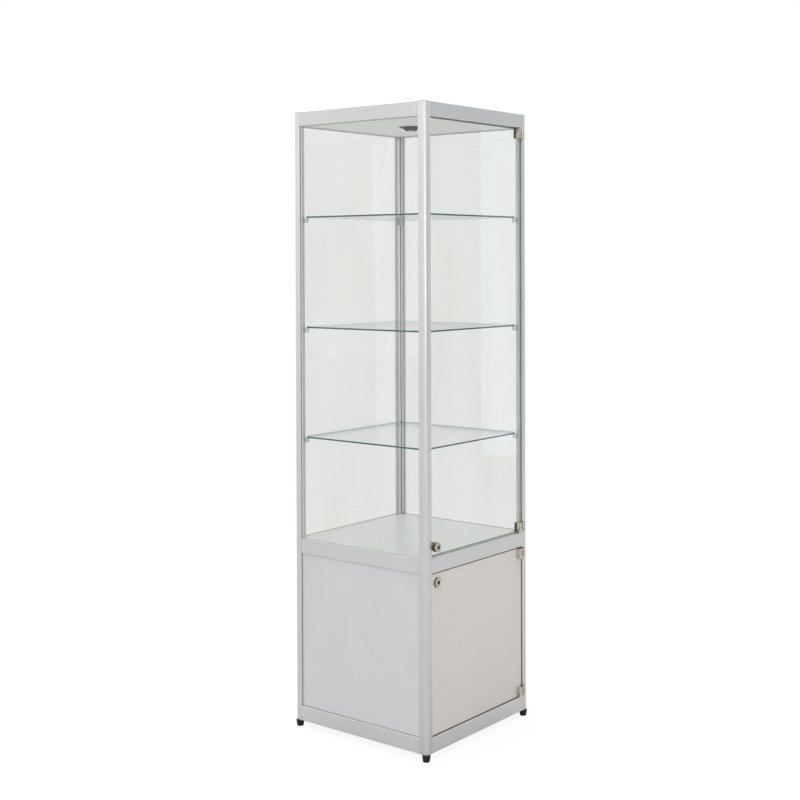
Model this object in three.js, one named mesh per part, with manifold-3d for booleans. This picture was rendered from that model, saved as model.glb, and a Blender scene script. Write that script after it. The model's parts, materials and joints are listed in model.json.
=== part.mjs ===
// A pedestal display case: a glazed upper case over a closed cupboard, in a square aluminium frame.
// Millimetres, +Z up. The origin is on the floor under the centre of the case, and the doors face -Y.
import * as THREE from "three";
import { mergeVertices } from "three/addons/utils/BufferGeometryUtils.js";
import Module from "manifold-3d";

const wasm = await Module();
wasm.setup();

// Overall size.
const width = 500;
const depth = 500;
const height = 1840;

// Aluminium profiles of the frame.
const postSize = 25;
const postCornerRadius = 11;
const postWall = 4;
const postChamber = 10.5;
const postChamberRadius = 2;
const postTopWall = 3;
const topRailHeight = 42;
const middleRailHeight = 44;
const bottomRailHeight = 45;
const railWall = 2.5;
const railEdgeChamfer = 1;
const grooveDepth = 8;
const grooveInset = 4;
const rebateDepth = 6.5;
const ceilingLip = 2;

// Heights of the display floor and the shelves.
const deckHeight = 567;
const firstShelfAboveDeck = 299;
const topShelfBelowRail = 273;
const shelfCount = 3;

// Sheets and boards.
const paneThickness = 5;
const shelfThickness = 5;
const shelfInset = 21;
const shelfPostGap = 1.2;
const panelThickness = 4;
const boardThickness = 12;
const ceilingThickness = 6;
const topCoverThickness = 4;

// Doors.
const glassDoorThickness = 6;
const cupboardDoorThickness = 6;
const doorSetBack = 3;
const doorSideGap = 3;
const doorEndGap = 2.5;

// Hinges: a clamp on the door's edge, three knuckles on a pin, and a leaf screwed to the post.
const hingeHeight = 30;
const hingeEndGap = 0.5;
const hingeAxisProud = 4.6;
const knuckleRadius = 3.9;
const knuckleGap = 0.35;
const tongueThickness = 3;
const pinRadius = 1.8;
const pinClearance = 0.35;
const leafThickness = 2;
const leafReach = 13.5;
const leafKnuckleGap = 0.5;
const clampProud = 10.5;
const clampBlockWidth = 15;
const clampBlockToKnuckle = 6;
const clampStrap = 1.4;
const clampBackThickness = 2.5;
const clampChamfer = 1;

// Cam locks. Places are measured from the free edge and the end of each door.
const lockHeadRadius = 14;
const lockHeadChamfer = 1.5;
const lockBarrelRadius = 8.5;
const lockHoleRadius = 9;
const lockNutRadius = 12;
const lockNutThickness = 4;
const glassLockProud = 12;
const cupboardLockProud = 6;
const glassLockFromEdge = 16.5;
const cupboardLockFromEdge = 24;
const lockFromEnd = 26;
const plugRadius = 6;
const plugClearance = 0.35;
const plugProud = 0.8;
const keySlotLength = 8;
const keySlotWidth = 1.6;
const keySlotDepth = 3;
const camWidth = 11;
const camThickness = 2;
const camPostGap = 1.5;
const camPostOverlap = 9;

// Shelf supports.
const supportHeight = 13;
const supportLegLength = 9;
const supportLegThickness = 3.2;
const supportPadReach = 18;

// Levelling feet.
const footHeight = 20;
const footRadius = 12;
const footNeckRadius = 9.5;
const footRimHeight = 9;
const footEdgeRadius = 2.5;
const footStudRadius = 4;
const footStudLength = 28;

// Ceiling light.
const lightFlangeRadius = 35;
const lightFlangeThickness = 2.2;
const lightBodyTopRadius = 26;
const lightBodyBottomRadius = 17;
const lightBodyDepth = 9;
const lightHoleRadius = 28;
const lightHoleClearance = 1;
const lightRecessHeight = 12;

// Clearances.
const seam = 0.25;
const seat = 0.3;
const gasketGap = 0.6;

// How far a cutter runs past the solid that it cuts, and a joined piece into its neighbour.
const overrun = 1;

// Smoothness of round shapes, in segments of a full turn or of a corner.
const largeRound = 48;
const smallRound = 24;
const cornerRound = 8;

// Places worked out from the sizes.
const halfWidth = width / 2;
const halfDepth = depth / 2;
const frameBottom = footHeight;
const bayX = halfWidth - postSize;
const bayY = halfDepth - postSize;
const topRailBottom = height - topRailHeight;
const middleRailBottom = deckHeight - middleRailHeight;
const bottomRailTop = frameBottom + bottomRailHeight;
const ceilingBottom = topRailBottom + ceilingLip;
const doorFaceY = -halfDepth + doorSetBack;
const doorHalfWidth = bayX - doorSideGap;
const hingeAxisX = bayX - doorSideGap / 2;
const hingeAxisY = -halfDepth - hingeAxisProud;
const chamberCentre = postWall + postChamber / 2;
const firstShelfUnderside = deckHeight + firstShelfAboveDeck;
const topShelfUnderside = topRailBottom - topShelfBelowRail;
const shelfPitch = (topShelfUnderside - firstShelfUnderside) / (shelfCount - 1);
const shelfUndersides = Array.from({ length: shelfCount }, (_, i) => firstShelfUnderside + i * shelfPitch);

// Colours, roughness and metalness of the finishes.
const finishes = {
  aluminium: { color: 0xc9cacb, roughness: 0.42, metalness: 0.9 },
  board: { color: 0xdcdedd, roughness: 0.45, metalness: 0 },
  panel: { color: 0xcbcbcd, roughness: 0.5, metalness: 0 },
  door: { color: 0xd2ccc6, roughness: 0.35, metalness: 0 },
  glass: { color: 0xdfeee8, roughness: 0.03, metalness: 0 },
  chrome: { color: 0xd8d6d2, roughness: 0.12, metalness: 1 },
  clear: { color: 0xe8eae8, roughness: 0.15, metalness: 0 },
  foot: { color: 0x141414, roughness: 0.5, metalness: 0 },
  light: { color: 0x2b3036, roughness: 0.4, metalness: 0.2 },
};

const displayCase = new THREE.Group();

function addPiece(name, geometry, finish) {
  const mesh = new THREE.Mesh(geometry, new THREE.MeshStandardMaterial(finishes[finish]));
  mesh.name = name;
  displayCase.add(mesh);
  return mesh;
}

// A closed geometry as a solid that can be joined and cut.
function solidOf(geometry) {
  const bare = geometry.clone();
  bare.deleteAttribute("normal");
  bare.deleteAttribute("uv");
  const merged = mergeVertices(bare, 1e-4);
  return new wasm.Manifold(
    new wasm.Mesh({
      numProp: 3,
      vertProperties: new Float32Array(merged.attributes.position.array),
      triVerts: new Uint32Array(merged.index.array),
    }),
  );
}

function geometryOf(solid) {
  const mesh = solid.getMesh();
  const positions = new Float32Array(mesh.numVert * 3);
  for (let i = 0; i < mesh.numVert; i++) {
    const start = i * mesh.numProp;
    positions.set(mesh.vertProperties.subarray(start, start + 3), i * 3);
  }
  const geometry = new THREE.BufferGeometry();
  geometry.setAttribute("position", new THREE.BufferAttribute(positions, 3));
  geometry.setIndex(new THREE.BufferAttribute(new Uint32Array(mesh.triVerts), 1));
  geometry.computeVertexNormals();
  return geometry;
}

// The first geometry with all the others joined to it.
function join(geometries) {
  return geometryOf(geometries.map(solidOf).reduce((sum, piece) => sum.add(piece)));
}

// The first geometry with the others taken away from it.
function cut(geometry, tools) {
  return geometryOf(tools.map(solidOf).reduce((rest, tool) => rest.subtract(tool), solidOf(geometry)));
}

function boxBetween([x0, y0, z0], [x1, y1, z1]) {
  const box = new THREE.BoxGeometry(x1 - x0, y1 - y0, z1 - z0);
  return box.translate((x0 + x1) / 2, (y0 + y1) / 2, (z0 + z1) / 2);
}

function outline(points) {
  return new THREE.Shape(points.map(([x, y]) => new THREE.Vector2(x, y)));
}

// An outline in plan, raised from z0 to z1.
function prism(shape, z0, z1) {
  const options = { depth: z1 - z0, bevelEnabled: false, curveSegments: cornerRound };
  return new THREE.ExtrudeGeometry(shape, options).translate(0, 0, z0);
}

// A square with round corners, from low to high both ways.
function roundedSquare(low, high, radius) {
  const shape = new THREE.Shape();
  const near = low + radius;
  const far = high - radius;
  shape.absarc(far, near, radius, -Math.PI / 2, 0);
  shape.absarc(far, far, radius, 0, Math.PI / 2);
  shape.absarc(near, far, radius, Math.PI / 2, Math.PI);
  shape.absarc(near, near, radius, Math.PI, Math.PI * 1.5);
  return shape;
}

// A turned solid about +Z. Its [radius, height] profile runs anticlockwise seen with the axis on the left.
function turned(profile, segments) {
  const points = profile.map(([radius, z]) => new THREE.Vector2(radius, z));
  return new THREE.LatheGeometry(points, segments).rotateX(Math.PI / 2);
}

function bar(radius, z0, z1, segments = smallRound) {
  return turned([[0, z0], [radius, z0], [radius, z1], [0, z1]], segments);
}

// Turns a solid made about +Z to stand out of the front of the case, with its +Y upwards.
function facingFront(geometry) {
  return geometry.rotateX(Math.PI / 2);
}

// A quarter-turn arc of [radius, height] points about a centre.
function edgeArc(centreRadius, centreHeight, radius, fromAngle) {
  return Array.from({ length: cornerRound + 1 }, (_, i) => {
    const angle = fromAngle + (i / cornerRound) * (Math.PI / 2);
    return [centreRadius + radius * Math.cos(angle), centreHeight + radius * Math.sin(angle)];
  });
}

// The corners of the case. A corner piece is drawn at the front left, inwards from its outer corner, and
// it is the same seen from both of its faces, so it fits the others turned about that corner.
const corners = [
  { name: "front_left", x: -halfWidth, y: -halfDepth, turn: 0 },
  { name: "front_right", x: halfWidth, y: -halfDepth, turn: Math.PI / 2 },
  { name: "back_right", x: halfWidth, y: halfDepth, turn: Math.PI },
  { name: "back_left", x: -halfWidth, y: halfDepth, turn: -Math.PI / 2 },
];

function atCorner(geometry, { x, y, turn }) {
  return geometry.clone().rotateZ(turn).translate(x, y, 0);
}

// The sides of the case. A side piece is drawn at the front and turned about the centre.
const sides = [
  { name: "front", turn: 0, reach: bayX, face: halfDepth, glazed: false },
  { name: "right", turn: Math.PI / 2, reach: bayY, face: halfWidth, glazed: true },
  { name: "back", turn: Math.PI, reach: bayX, face: halfDepth, glazed: true },
  { name: "left", turn: -Math.PI / 2, reach: bayY, face: halfWidth, glazed: true },
];
const glazedSides = sides.filter((side) => side.glazed);

// Where a sheet of a given thickness starts and ends, inwards from the outer face, with room for its gasket.
const grooveLow = grooveInset - gasketGap;
const grooveHigh = grooveInset + paneThickness + gasketGap;

// Post profile, inwards from the outer corner: round outside, a sheet groove in each inner face.
function postOutline() {
  const grooveFloor = postSize - grooveDepth;
  const shape = new THREE.Shape();
  shape.moveTo(postSize, 0);
  shape.lineTo(postSize, grooveLow);
  shape.lineTo(grooveFloor, grooveLow);
  shape.lineTo(grooveFloor, grooveHigh);
  shape.lineTo(postSize, grooveHigh);
  shape.lineTo(postSize, postSize);
  shape.lineTo(grooveHigh, postSize);
  shape.lineTo(grooveHigh, grooveFloor);
  shape.lineTo(grooveLow, grooveFloor);
  shape.lineTo(grooveLow, postSize);
  shape.lineTo(0, postSize);
  shape.absarc(postCornerRadius, postCornerRadius, postCornerRadius, Math.PI, Math.PI * 1.5);
  return shape;
}

function addPosts() {
  const chamberShape = roundedSquare(postWall, postWall + postChamber, postChamberRadius);
  const chamber = prism(chamberShape, frameBottom - overrun, height - postTopWall);
  const post = cut(prism(postOutline(), frameBottom, height), [chamber]);
  for (const corner of corners) {
    addPiece(corner.name + "_post", atCorner(post, corner), "aluminium");
  }
}

// Rail profile as [inwards from the outer face, height]: hollow, with sheet grooves in its edges.
// A rebate in the top inner edge and a slot in the inner face carry boards.
function railOutline(z0, z1, { grooveUp, grooveDown, rebate = 0, slot = null }) {
  const rebateFace = postSize - rebateDepth;
  const points = [[railEdgeChamfer, z0]];
  if (grooveDown) {
    points.push([grooveLow, z0], [grooveLow, z0 + grooveDepth]);
    points.push([grooveHigh, z0 + grooveDepth], [grooveHigh, z0]);
  }
  points.push([postSize, z0]);
  if (slot) {
    points.push([postSize, slot[0]], [rebateFace, slot[0]]);
    points.push([rebateFace, slot[1]], [postSize, slot[1]]);
  }
  if (rebate > 0) {
    points.push([postSize, z1 - rebate], [rebateFace, z1 - rebate], [rebateFace, z1]);
  } else {
    points.push([postSize, z1]);
  }
  if (grooveUp) {
    points.push([grooveHigh, z1], [grooveHigh, z1 - grooveDepth]);
    points.push([grooveLow, z1 - grooveDepth], [grooveLow, z1]);
  }
  points.push([railEdgeChamfer, z1], [0, z1 - railEdgeChamfer], [0, z0 + railEdgeChamfer]);
  const shape = outline(points);
  const chamberLow = z0 + railWall + (grooveDown ? grooveDepth : 0);
  const chamberHigh = z1 - railWall - (grooveUp ? grooveDepth : 0);
  const chamberFar = rebateFace - railWall;
  const chamber = [
    [railWall, chamberLow],
    [railWall, chamberHigh],
    [chamberFar, chamberHigh],
    [chamberFar, chamberLow],
  ];
  shape.holes.push(outline(chamber));
  return shape;
}

// A profile laid along a side of the case, between the posts.
function alongSide(profile, { turn, reach, face }) {
  const length = 2 * (reach - seam);
  const rail = new THREE.ExtrudeGeometry(profile, { depth: length, bevelEnabled: false });
  rail.rotateX(Math.PI / 2);
  rail.rotateZ(Math.PI / 2);
  rail.translate(-length / 2, -face, 0);
  return rail.rotateZ(turn);
}

function addRails() {
  for (const side of sides) {
    const carriesBoards = side.name === "left" || side.name === "right";
    const rebateFor = (thickness) => (carriesBoards ? thickness + seat : 0);
    const ceilingSlot = [ceilingBottom - seat, ceilingBottom + ceilingThickness + seat];
    const top = railOutline(topRailBottom, height, {
      grooveUp: false,
      grooveDown: side.glazed,
      rebate: rebateFor(topCoverThickness),
      slot: carriesBoards ? ceilingSlot : null,
    });
    const middle = railOutline(middleRailBottom, deckHeight, {
      grooveUp: side.glazed,
      grooveDown: side.glazed,
      rebate: rebateFor(boardThickness),
    });
    const bottom = railOutline(frameBottom, bottomRailTop, {
      grooveUp: side.glazed,
      grooveDown: false,
      rebate: rebateFor(boardThickness),
    });
    addPiece(side.name + "_top_rail", alongSide(top, side), "aluminium");
    addPiece(side.name + "_middle_rail", alongSide(middle, side), "aluminium");
    addPiece(side.name + "_bottom_rail", alongSide(bottom, side), "aluminium");
  }
}

// A board between the rails, its left and right edges lying in the side rails' rebates.
function boardAt(z0, z1) {
  const reachX = bayX + rebateDepth - seat;
  const reachY = bayY - seat;
  return boxBetween([-reachX, -reachY, z0], [reachX, reachY, z1]);
}

function addBoards() {
  addPiece("top_cover", boardAt(height - topCoverThickness, height), "aluminium");
  const ceilingTop = ceilingBottom + ceilingThickness;
  const ceiling = boardAt(ceilingBottom, ceilingTop);
  const lightHole = bar(lightHoleRadius, ceilingBottom - overrun, ceilingTop + overrun, largeRound);
  addPiece("ceiling_panel", cut(ceiling, [lightHole]), "board");
  addPiece("display_floor", boardAt(deckHeight - boardThickness, deckHeight), "board");
  addPiece("cupboard_floor", boardAt(bottomRailTop - boardThickness, bottomRailTop), "board");
}

// A sheet of a glazed side, its edges in the grooves of the posts and of the rails above and below.
function sheetInSide({ turn, reach, face }, thickness, lowerRailTop, upperRailBottom) {
  const bite = grooveDepth - gasketGap;
  const inset = grooveInset + (paneThickness - thickness) / 2;
  const sheet = boxBetween(
    [-reach - bite, -face + inset, lowerRailTop - bite],
    [reach + bite, -face + inset + thickness, upperRailBottom + bite],
  );
  return sheet.rotateZ(turn);
}

function addSheets() {
  for (const side of glazedSides) {
    const pane = sheetInSide(side, paneThickness, deckHeight, topRailBottom);
    addPiece(side.name + "_glass_pane", pane, "glass");
    const panel = sheetInSide(side, panelThickness, bottomRailTop, middleRailBottom);
    addPiece(side.name + "_cupboard_panel", panel, "panel");
  }
}

// Shelf plan: inside the panes, with its corners cut off clear of the posts.
function shelfOutline() {
  const x = halfWidth - shelfInset;
  const y = halfDepth - shelfInset;
  const clip = 2 * (postSize - shelfInset + shelfPostGap);
  const corner = (sideX, sideY) => [
    [sideX * x, sideY * (y - clip)],
    [sideX * (x - clip), sideY * y],
  ];
  return outline([
    ...corner(1, 1),
    ...corner(-1, 1).reverse(),
    ...corner(-1, -1),
    ...corner(1, -1).reverse(),
  ]);
}

// Support plan, inwards from the case's outer corner: it wraps the post's inner corner, with a round pad.
function supportOutline() {
  const inner = postSize + seat;
  const outer = inner + supportLegThickness;
  const end = postSize - supportLegLength;
  const pad = postSize + supportPadReach;
  const shape = new THREE.Shape();
  shape.moveTo(inner, end);
  shape.lineTo(outer, end);
  shape.quadraticCurveTo(pad, pad, end, outer);
  shape.lineTo(end, inner);
  shape.lineTo(inner, inner);
  return shape;
}

function addShelves() {
  shelfUndersides.forEach((underside, i) => {
    const shelfName = "shelf_" + (i + 1);
    addPiece(shelfName, prism(shelfOutline(), underside, underside + shelfThickness), "glass");
    const top = underside - seat;
    const support = prism(supportOutline(), top - supportHeight, top);
    for (const corner of corners) {
      addPiece(shelfName + "_support_" + corner.name, atCorner(support, corner), "clear");
    }
  });
}

// The two doors: each with its sheet, the ends that it reaches, and the lock near one end.
const doors = [
  {
    name: "glass_door",
    finish: "glass",
    thickness: glassDoorThickness,
    bottom: deckHeight + doorEndGap,
    top: topRailBottom - doorEndGap,
    lockHeight: deckHeight + doorEndGap + lockFromEnd,
    lockX: -doorHalfWidth + glassLockFromEdge,
    lockProud: glassLockProud,
    camPoints: 1,
  },
  {
    name: "cupboard_door",
    finish: "door",
    thickness: cupboardDoorThickness,
    bottom: bottomRailTop + doorEndGap,
    top: middleRailBottom - doorEndGap,
    lockHeight: middleRailBottom - doorEndGap - lockFromEnd,
    lockX: -doorHalfWidth + cupboardLockFromEdge,
    lockProud: cupboardLockProud,
    camPoints: -1,
  },
];

// Hinge clamp on the door's edge, over the hinge's height from z = 0, with the middle knuckle.
function hingeClamp(doorThickness) {
  const doorBack = doorFaceY + doorThickness;
  const blockRight = hingeAxisX - knuckleRadius - clampBlockToKnuckle;
  const blockLeft = blockRight - clampBlockWidth;
  const faceIn = doorFaceY - seat;
  const faceOut = doorFaceY - clampProud;
  const backIn = doorBack + seat;
  const webIn = doorHalfWidth + seat;
  const webOut = webIn + clampStrap;
  const body = outline([
    [blockLeft, faceOut + clampChamfer],
    [blockLeft + clampChamfer, faceOut],
    [blockRight - clampChamfer, faceOut],
    [blockRight, faceOut + clampChamfer],
    [blockRight, faceIn - clampStrap],
    [webOut, faceIn - clampStrap],
    [webOut, backIn + clampBackThickness],
    [blockLeft, backIn + clampBackThickness],
    [blockLeft, backIn],
    [webIn, backIn],
    [webIn, faceIn],
    [blockLeft, faceIn],
  ]);
  const third = hingeHeight / 3;
  const low = third + knuckleGap;
  const high = 2 * third - knuckleGap;
  const knuckle = bar(knuckleRadius, low, high).translate(hingeAxisX, hingeAxisY, 0);
  const tongue = boxBetween(
    [blockRight - overrun, hingeAxisY - tongueThickness / 2, low],
    [hingeAxisX, hingeAxisY + tongueThickness / 2, high],
  );
  const bore = bar(pinRadius + pinClearance, low - overrun, high + overrun);
  bore.translate(hingeAxisX, hingeAxisY, 0);
  return cut(join([prism(body, 0, hingeHeight), knuckle, tongue]), [bore]);
}

// Hinge leaf on the post, over the hinge's height from z = 0, with the outer knuckles and the pin.
function hingeLeaf() {
  const leafBack = -halfDepth - seat;
  const leafLeft = hingeAxisX + knuckleRadius + leafKnuckleGap;
  const leaf = boxBetween(
    [leafLeft, leafBack - leafThickness, 0],
    [bayX + leafReach, leafBack, hingeHeight],
  );
  const third = hingeHeight / 3;
  const ends = [[0, third - knuckleGap], [2 * third + knuckleGap, hingeHeight]];
  const knuckles = ends.flatMap(([low, high]) => [
    bar(knuckleRadius, low, high).translate(hingeAxisX, hingeAxisY, 0),
    boxBetween([hingeAxisX, hingeAxisY, low], [leafLeft + overrun, leafBack, high]),
  ]);
  const pin = bar(pinRadius, 0, hingeHeight).translate(hingeAxisX, hingeAxisY, 0);
  return join([leaf, ...knuckles, pin]);
}

function addDoor(door) {
  const back = doorFaceY + door.thickness;
  const sheet = boxBetween([-doorHalfWidth, doorFaceY, door.bottom], [doorHalfWidth, back, door.top]);
  const lockHole = facingFront(bar(lockHoleRadius, -overrun, door.thickness + overrun));
  lockHole.translate(door.lockX, back, door.lockHeight);
  addPiece(door.name, cut(sheet, [lockHole]), door.finish);
  const hinges = [
    { end: "bottom", z: door.bottom + hingeEndGap },
    { end: "top", z: door.top - hingeEndGap - hingeHeight },
  ];
  for (const { end, z } of hinges) {
    const clamp = hingeClamp(door.thickness).translate(0, 0, z);
    addPiece(door.name + "_" + end + "_hinge_clamp", clamp, "chrome");
    const leaf = hingeLeaf().translate(0, 0, z);
    addPiece(door.name + "_" + end + "_hinge_leaf", leaf, "chrome");
  }
}

// Lock parts are made about +Z, with z = 0 on the door's face and +Z out of the door.
function lockHousing(door, barrelEnd) {
  const bore = plugRadius + plugClearance;
  const nutFront = -door.thickness - seat;
  const nutBack = nutFront - lockNutThickness;
  return turned(
    [
      [bore, barrelEnd],
      [lockBarrelRadius, barrelEnd],
      [lockBarrelRadius, nutBack],
      [lockNutRadius, nutBack],
      [lockNutRadius, nutFront],
      [lockBarrelRadius, nutFront],
      [lockBarrelRadius, seat],
      [lockHeadRadius, seat],
      [lockHeadRadius, door.lockProud - lockHeadChamfer],
      [lockHeadRadius - lockHeadChamfer, door.lockProud],
      [bore, door.lockProud],
      [bore, barrelEnd],
    ],
    largeRound,
  );
}

function lockPlug(door, barrelEnd) {
  const front = door.lockProud + plugProud;
  const camFront = barrelEnd - seat;
  const camBack = camFront - camThickness;
  const camReach = door.lockX + bayX + camPostOverlap;
  const camShape = new THREE.Shape();
  const halfCam = camWidth / 2;
  camShape.absarc(0, 0, halfCam, Math.PI, Math.PI * 2);
  camShape.absarc(0, camReach - halfCam, halfCam, 0, Math.PI);
  const cam = prism(camShape, camBack, camFront);
  if (door.camPoints < 0) cam.rotateZ(Math.PI);
  const keySlot = boxBetween(
    [-keySlotWidth / 2, -keySlotLength / 2, front - keySlotDepth],
    [keySlotWidth / 2, keySlotLength / 2, front + overrun],
  );
  return cut(join([bar(plugRadius, camBack, front, largeRound), cam]), [keySlot]);
}

function addLock(door) {
  const barrelEnd = doorFaceY + halfDepth - postSize - camPostGap + seat;
  const place = (geometry) => facingFront(geometry).translate(door.lockX, doorFaceY, door.lockHeight);
  addPiece(door.name + "_lock_housing", place(lockHousing(door, barrelEnd)), "chrome");
  addPiece(door.name + "_lock_plug", place(lockPlug(door, barrelEnd)), "chrome");
}

function addFeet() {
  const top = footHeight - seat;
  const foot = turned(
    [
      [0, 0],
      ...edgeArc(footRadius - footEdgeRadius, footEdgeRadius, footEdgeRadius, -Math.PI / 2),
      [footRadius, footRimHeight],
      [footNeckRadius, top],
      [footStudRadius, top],
      [footStudRadius, top + footStudLength],
      [0, top + footStudLength],
    ],
    smallRound,
  );
  foot.translate(chamberCentre, chamberCentre, 0);
  for (const corner of corners) addPiece(corner.name + "_foot", atCorner(foot, corner), "foot");
}

function addLight() {
  const flangeTop = ceilingBottom - seat;
  const flangeBottom = flangeTop - lightFlangeThickness;
  const recessRadius = lightHoleRadius - lightHoleClearance;
  const light = turned(
    [
      [0, flangeBottom - lightBodyDepth],
      [lightBodyBottomRadius, flangeBottom - lightBodyDepth],
      [lightBodyTopRadius, flangeBottom],
      [lightFlangeRadius, flangeBottom],
      [lightFlangeRadius, flangeTop],
      [recessRadius, flangeTop],
      [recessRadius, flangeTop + lightRecessHeight],
      [0, flangeTop + lightRecessHeight],
    ],
    largeRound,
  );
  addPiece("ceiling_light", light, "light");
}

addPosts();
addRails();
addBoards();
addSheets();
addShelves();
for (const door of doors) {
  addDoor(door);
  addLock(door);
}
addFeet();
addLight();

export default displayCase;
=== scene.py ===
"""Visual model of a pedestal display case: a glazed case over a cupboard, framed in aluminium.

Lengths in the dataclasses are millimetres, except where a class says otherwise. What is built is in
metres, in the CAD frame: the origin on the floor under the centre of the case, the doors facing -Y
and +Z upwards.
"""

import json
import logging
import math
from collections.abc import Callable, Iterator, Sequence
from contextlib import contextmanager
from dataclasses import dataclass
from enum import Enum

import bmesh
import bpy
from mathutils import Matrix, Vector


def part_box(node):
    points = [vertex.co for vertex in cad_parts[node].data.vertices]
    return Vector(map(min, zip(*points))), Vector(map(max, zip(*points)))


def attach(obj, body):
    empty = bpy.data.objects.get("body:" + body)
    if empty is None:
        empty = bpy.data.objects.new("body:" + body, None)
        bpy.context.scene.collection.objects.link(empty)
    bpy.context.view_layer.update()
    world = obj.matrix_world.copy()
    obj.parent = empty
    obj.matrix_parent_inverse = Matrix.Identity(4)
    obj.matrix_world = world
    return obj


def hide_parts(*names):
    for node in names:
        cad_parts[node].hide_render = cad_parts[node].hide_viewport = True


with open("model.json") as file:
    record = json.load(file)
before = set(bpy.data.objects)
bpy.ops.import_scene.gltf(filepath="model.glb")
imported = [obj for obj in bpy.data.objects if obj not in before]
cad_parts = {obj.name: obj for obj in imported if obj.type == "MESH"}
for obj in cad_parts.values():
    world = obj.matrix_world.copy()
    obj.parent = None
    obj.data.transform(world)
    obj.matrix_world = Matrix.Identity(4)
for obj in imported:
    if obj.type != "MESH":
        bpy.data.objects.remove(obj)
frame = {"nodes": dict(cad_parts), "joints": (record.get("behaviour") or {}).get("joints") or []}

LOG = logging.getLogger("display_case")
MM = 0.001
CASE = "case"
WHITE = (1.0, 1.0, 1.0, 1.0)

Piece = bpy.types.Object
Tree = bpy.types.NodeTree
Socket = bpy.types.NodeSocket
Rule = Callable[[Vector, Vector], bool]


class Element(Enum):
    """What is selected in edit mode."""

    EDGE = "EDGE"
    FACE = "FACE"


class Axis(Enum):
    """A direction of the case."""

    X = (1.0, 0.0, 0.0)
    Y = (0.0, 1.0, 0.0)
    Z = (0.0, 0.0, 1.0)


class Corner(Enum):
    """A corner of the case, by the turn in degrees that takes the front left corner there."""

    FRONT_LEFT = 0
    FRONT_RIGHT = 90
    BACK_RIGHT = 180
    BACK_LEFT = -90

    @property
    def label(self) -> str:
        """The corner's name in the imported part."""
        return self.name.lower()


class Side(Enum):
    """A glazed side of the case, by the turn in degrees that takes the front there."""

    RIGHT = 90
    BACK = 180
    LEFT = -90

    @property
    def label(self) -> str:
        """The side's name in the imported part."""
        return self.name.lower()


# ------------------------------------------------------------------------------
# Colours and nodes
# ------------------------------------------------------------------------------


def linear(colour: str) -> tuple[float, float, float, float]:
    """Turns an sRGB colour into the linear values that shaders take.

    Args:
        colour: Six hex digits after a hash sign.

    Returns:
        Red, green, blue and an alpha of 1.
    """
    parts = [int(colour[i : i + 2], 16) / 255 for i in (1, 3, 5)]
    red, green, blue = (c / 12.92 if c <= 0.04045 else ((c + 0.055) / 1.055) ** 2.4 for c in parts)
    return red, green, blue, 1.0


def add_node(
    tree: Tree,
    kind: str,
    settings: dict | None = None,
    links: dict | None = None,
) -> bpy.types.Node:
    """Adds one node with its settings and links.

    Args:
        tree: The node tree that it joins.
        kind: The node's type name.
        settings: Values by option name, or by input name or number.
        links: Output sockets by the name or number of the input that each feeds.

    Returns:
        The new node.
    """
    node = tree.nodes.new(kind)
    for name, value in (settings or {}).items():
        if isinstance(name, int) or name in node.inputs:
            node.inputs[name].default_value = value
        else:
            setattr(node, name, value)
    for name, socket in (links or {}).items():
        tree.links.new(socket, node.inputs[name])
    return node


def maths(tree: Tree, operation: str, *terms: float | Socket) -> Socket:
    """Adds one step of arithmetic.

    Args:
        tree: The node tree that it joins.
        operation: What it does.
        terms: What it takes, in order: numbers, or output sockets.

    Returns:
        The result.
    """
    settings, links = {"operation": operation}, {}
    for number, term in enumerate(terms):
        (links if isinstance(term, Socket) else settings)[number] = term
    return add_node(tree, "ShaderNodeMath", settings, links).outputs["Value"]


def mix(tree: Tree, share: Socket, first: Socket, second: Socket) -> Socket:
    """Mixes two shaders, where share is the second one's."""
    links = {0: share, 1: first, 2: second}
    return add_node(tree, "ShaderNodeMixShader", links=links).outputs["Shader"]


# ------------------------------------------------------------------------------
# Finishes
# ------------------------------------------------------------------------------


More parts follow.
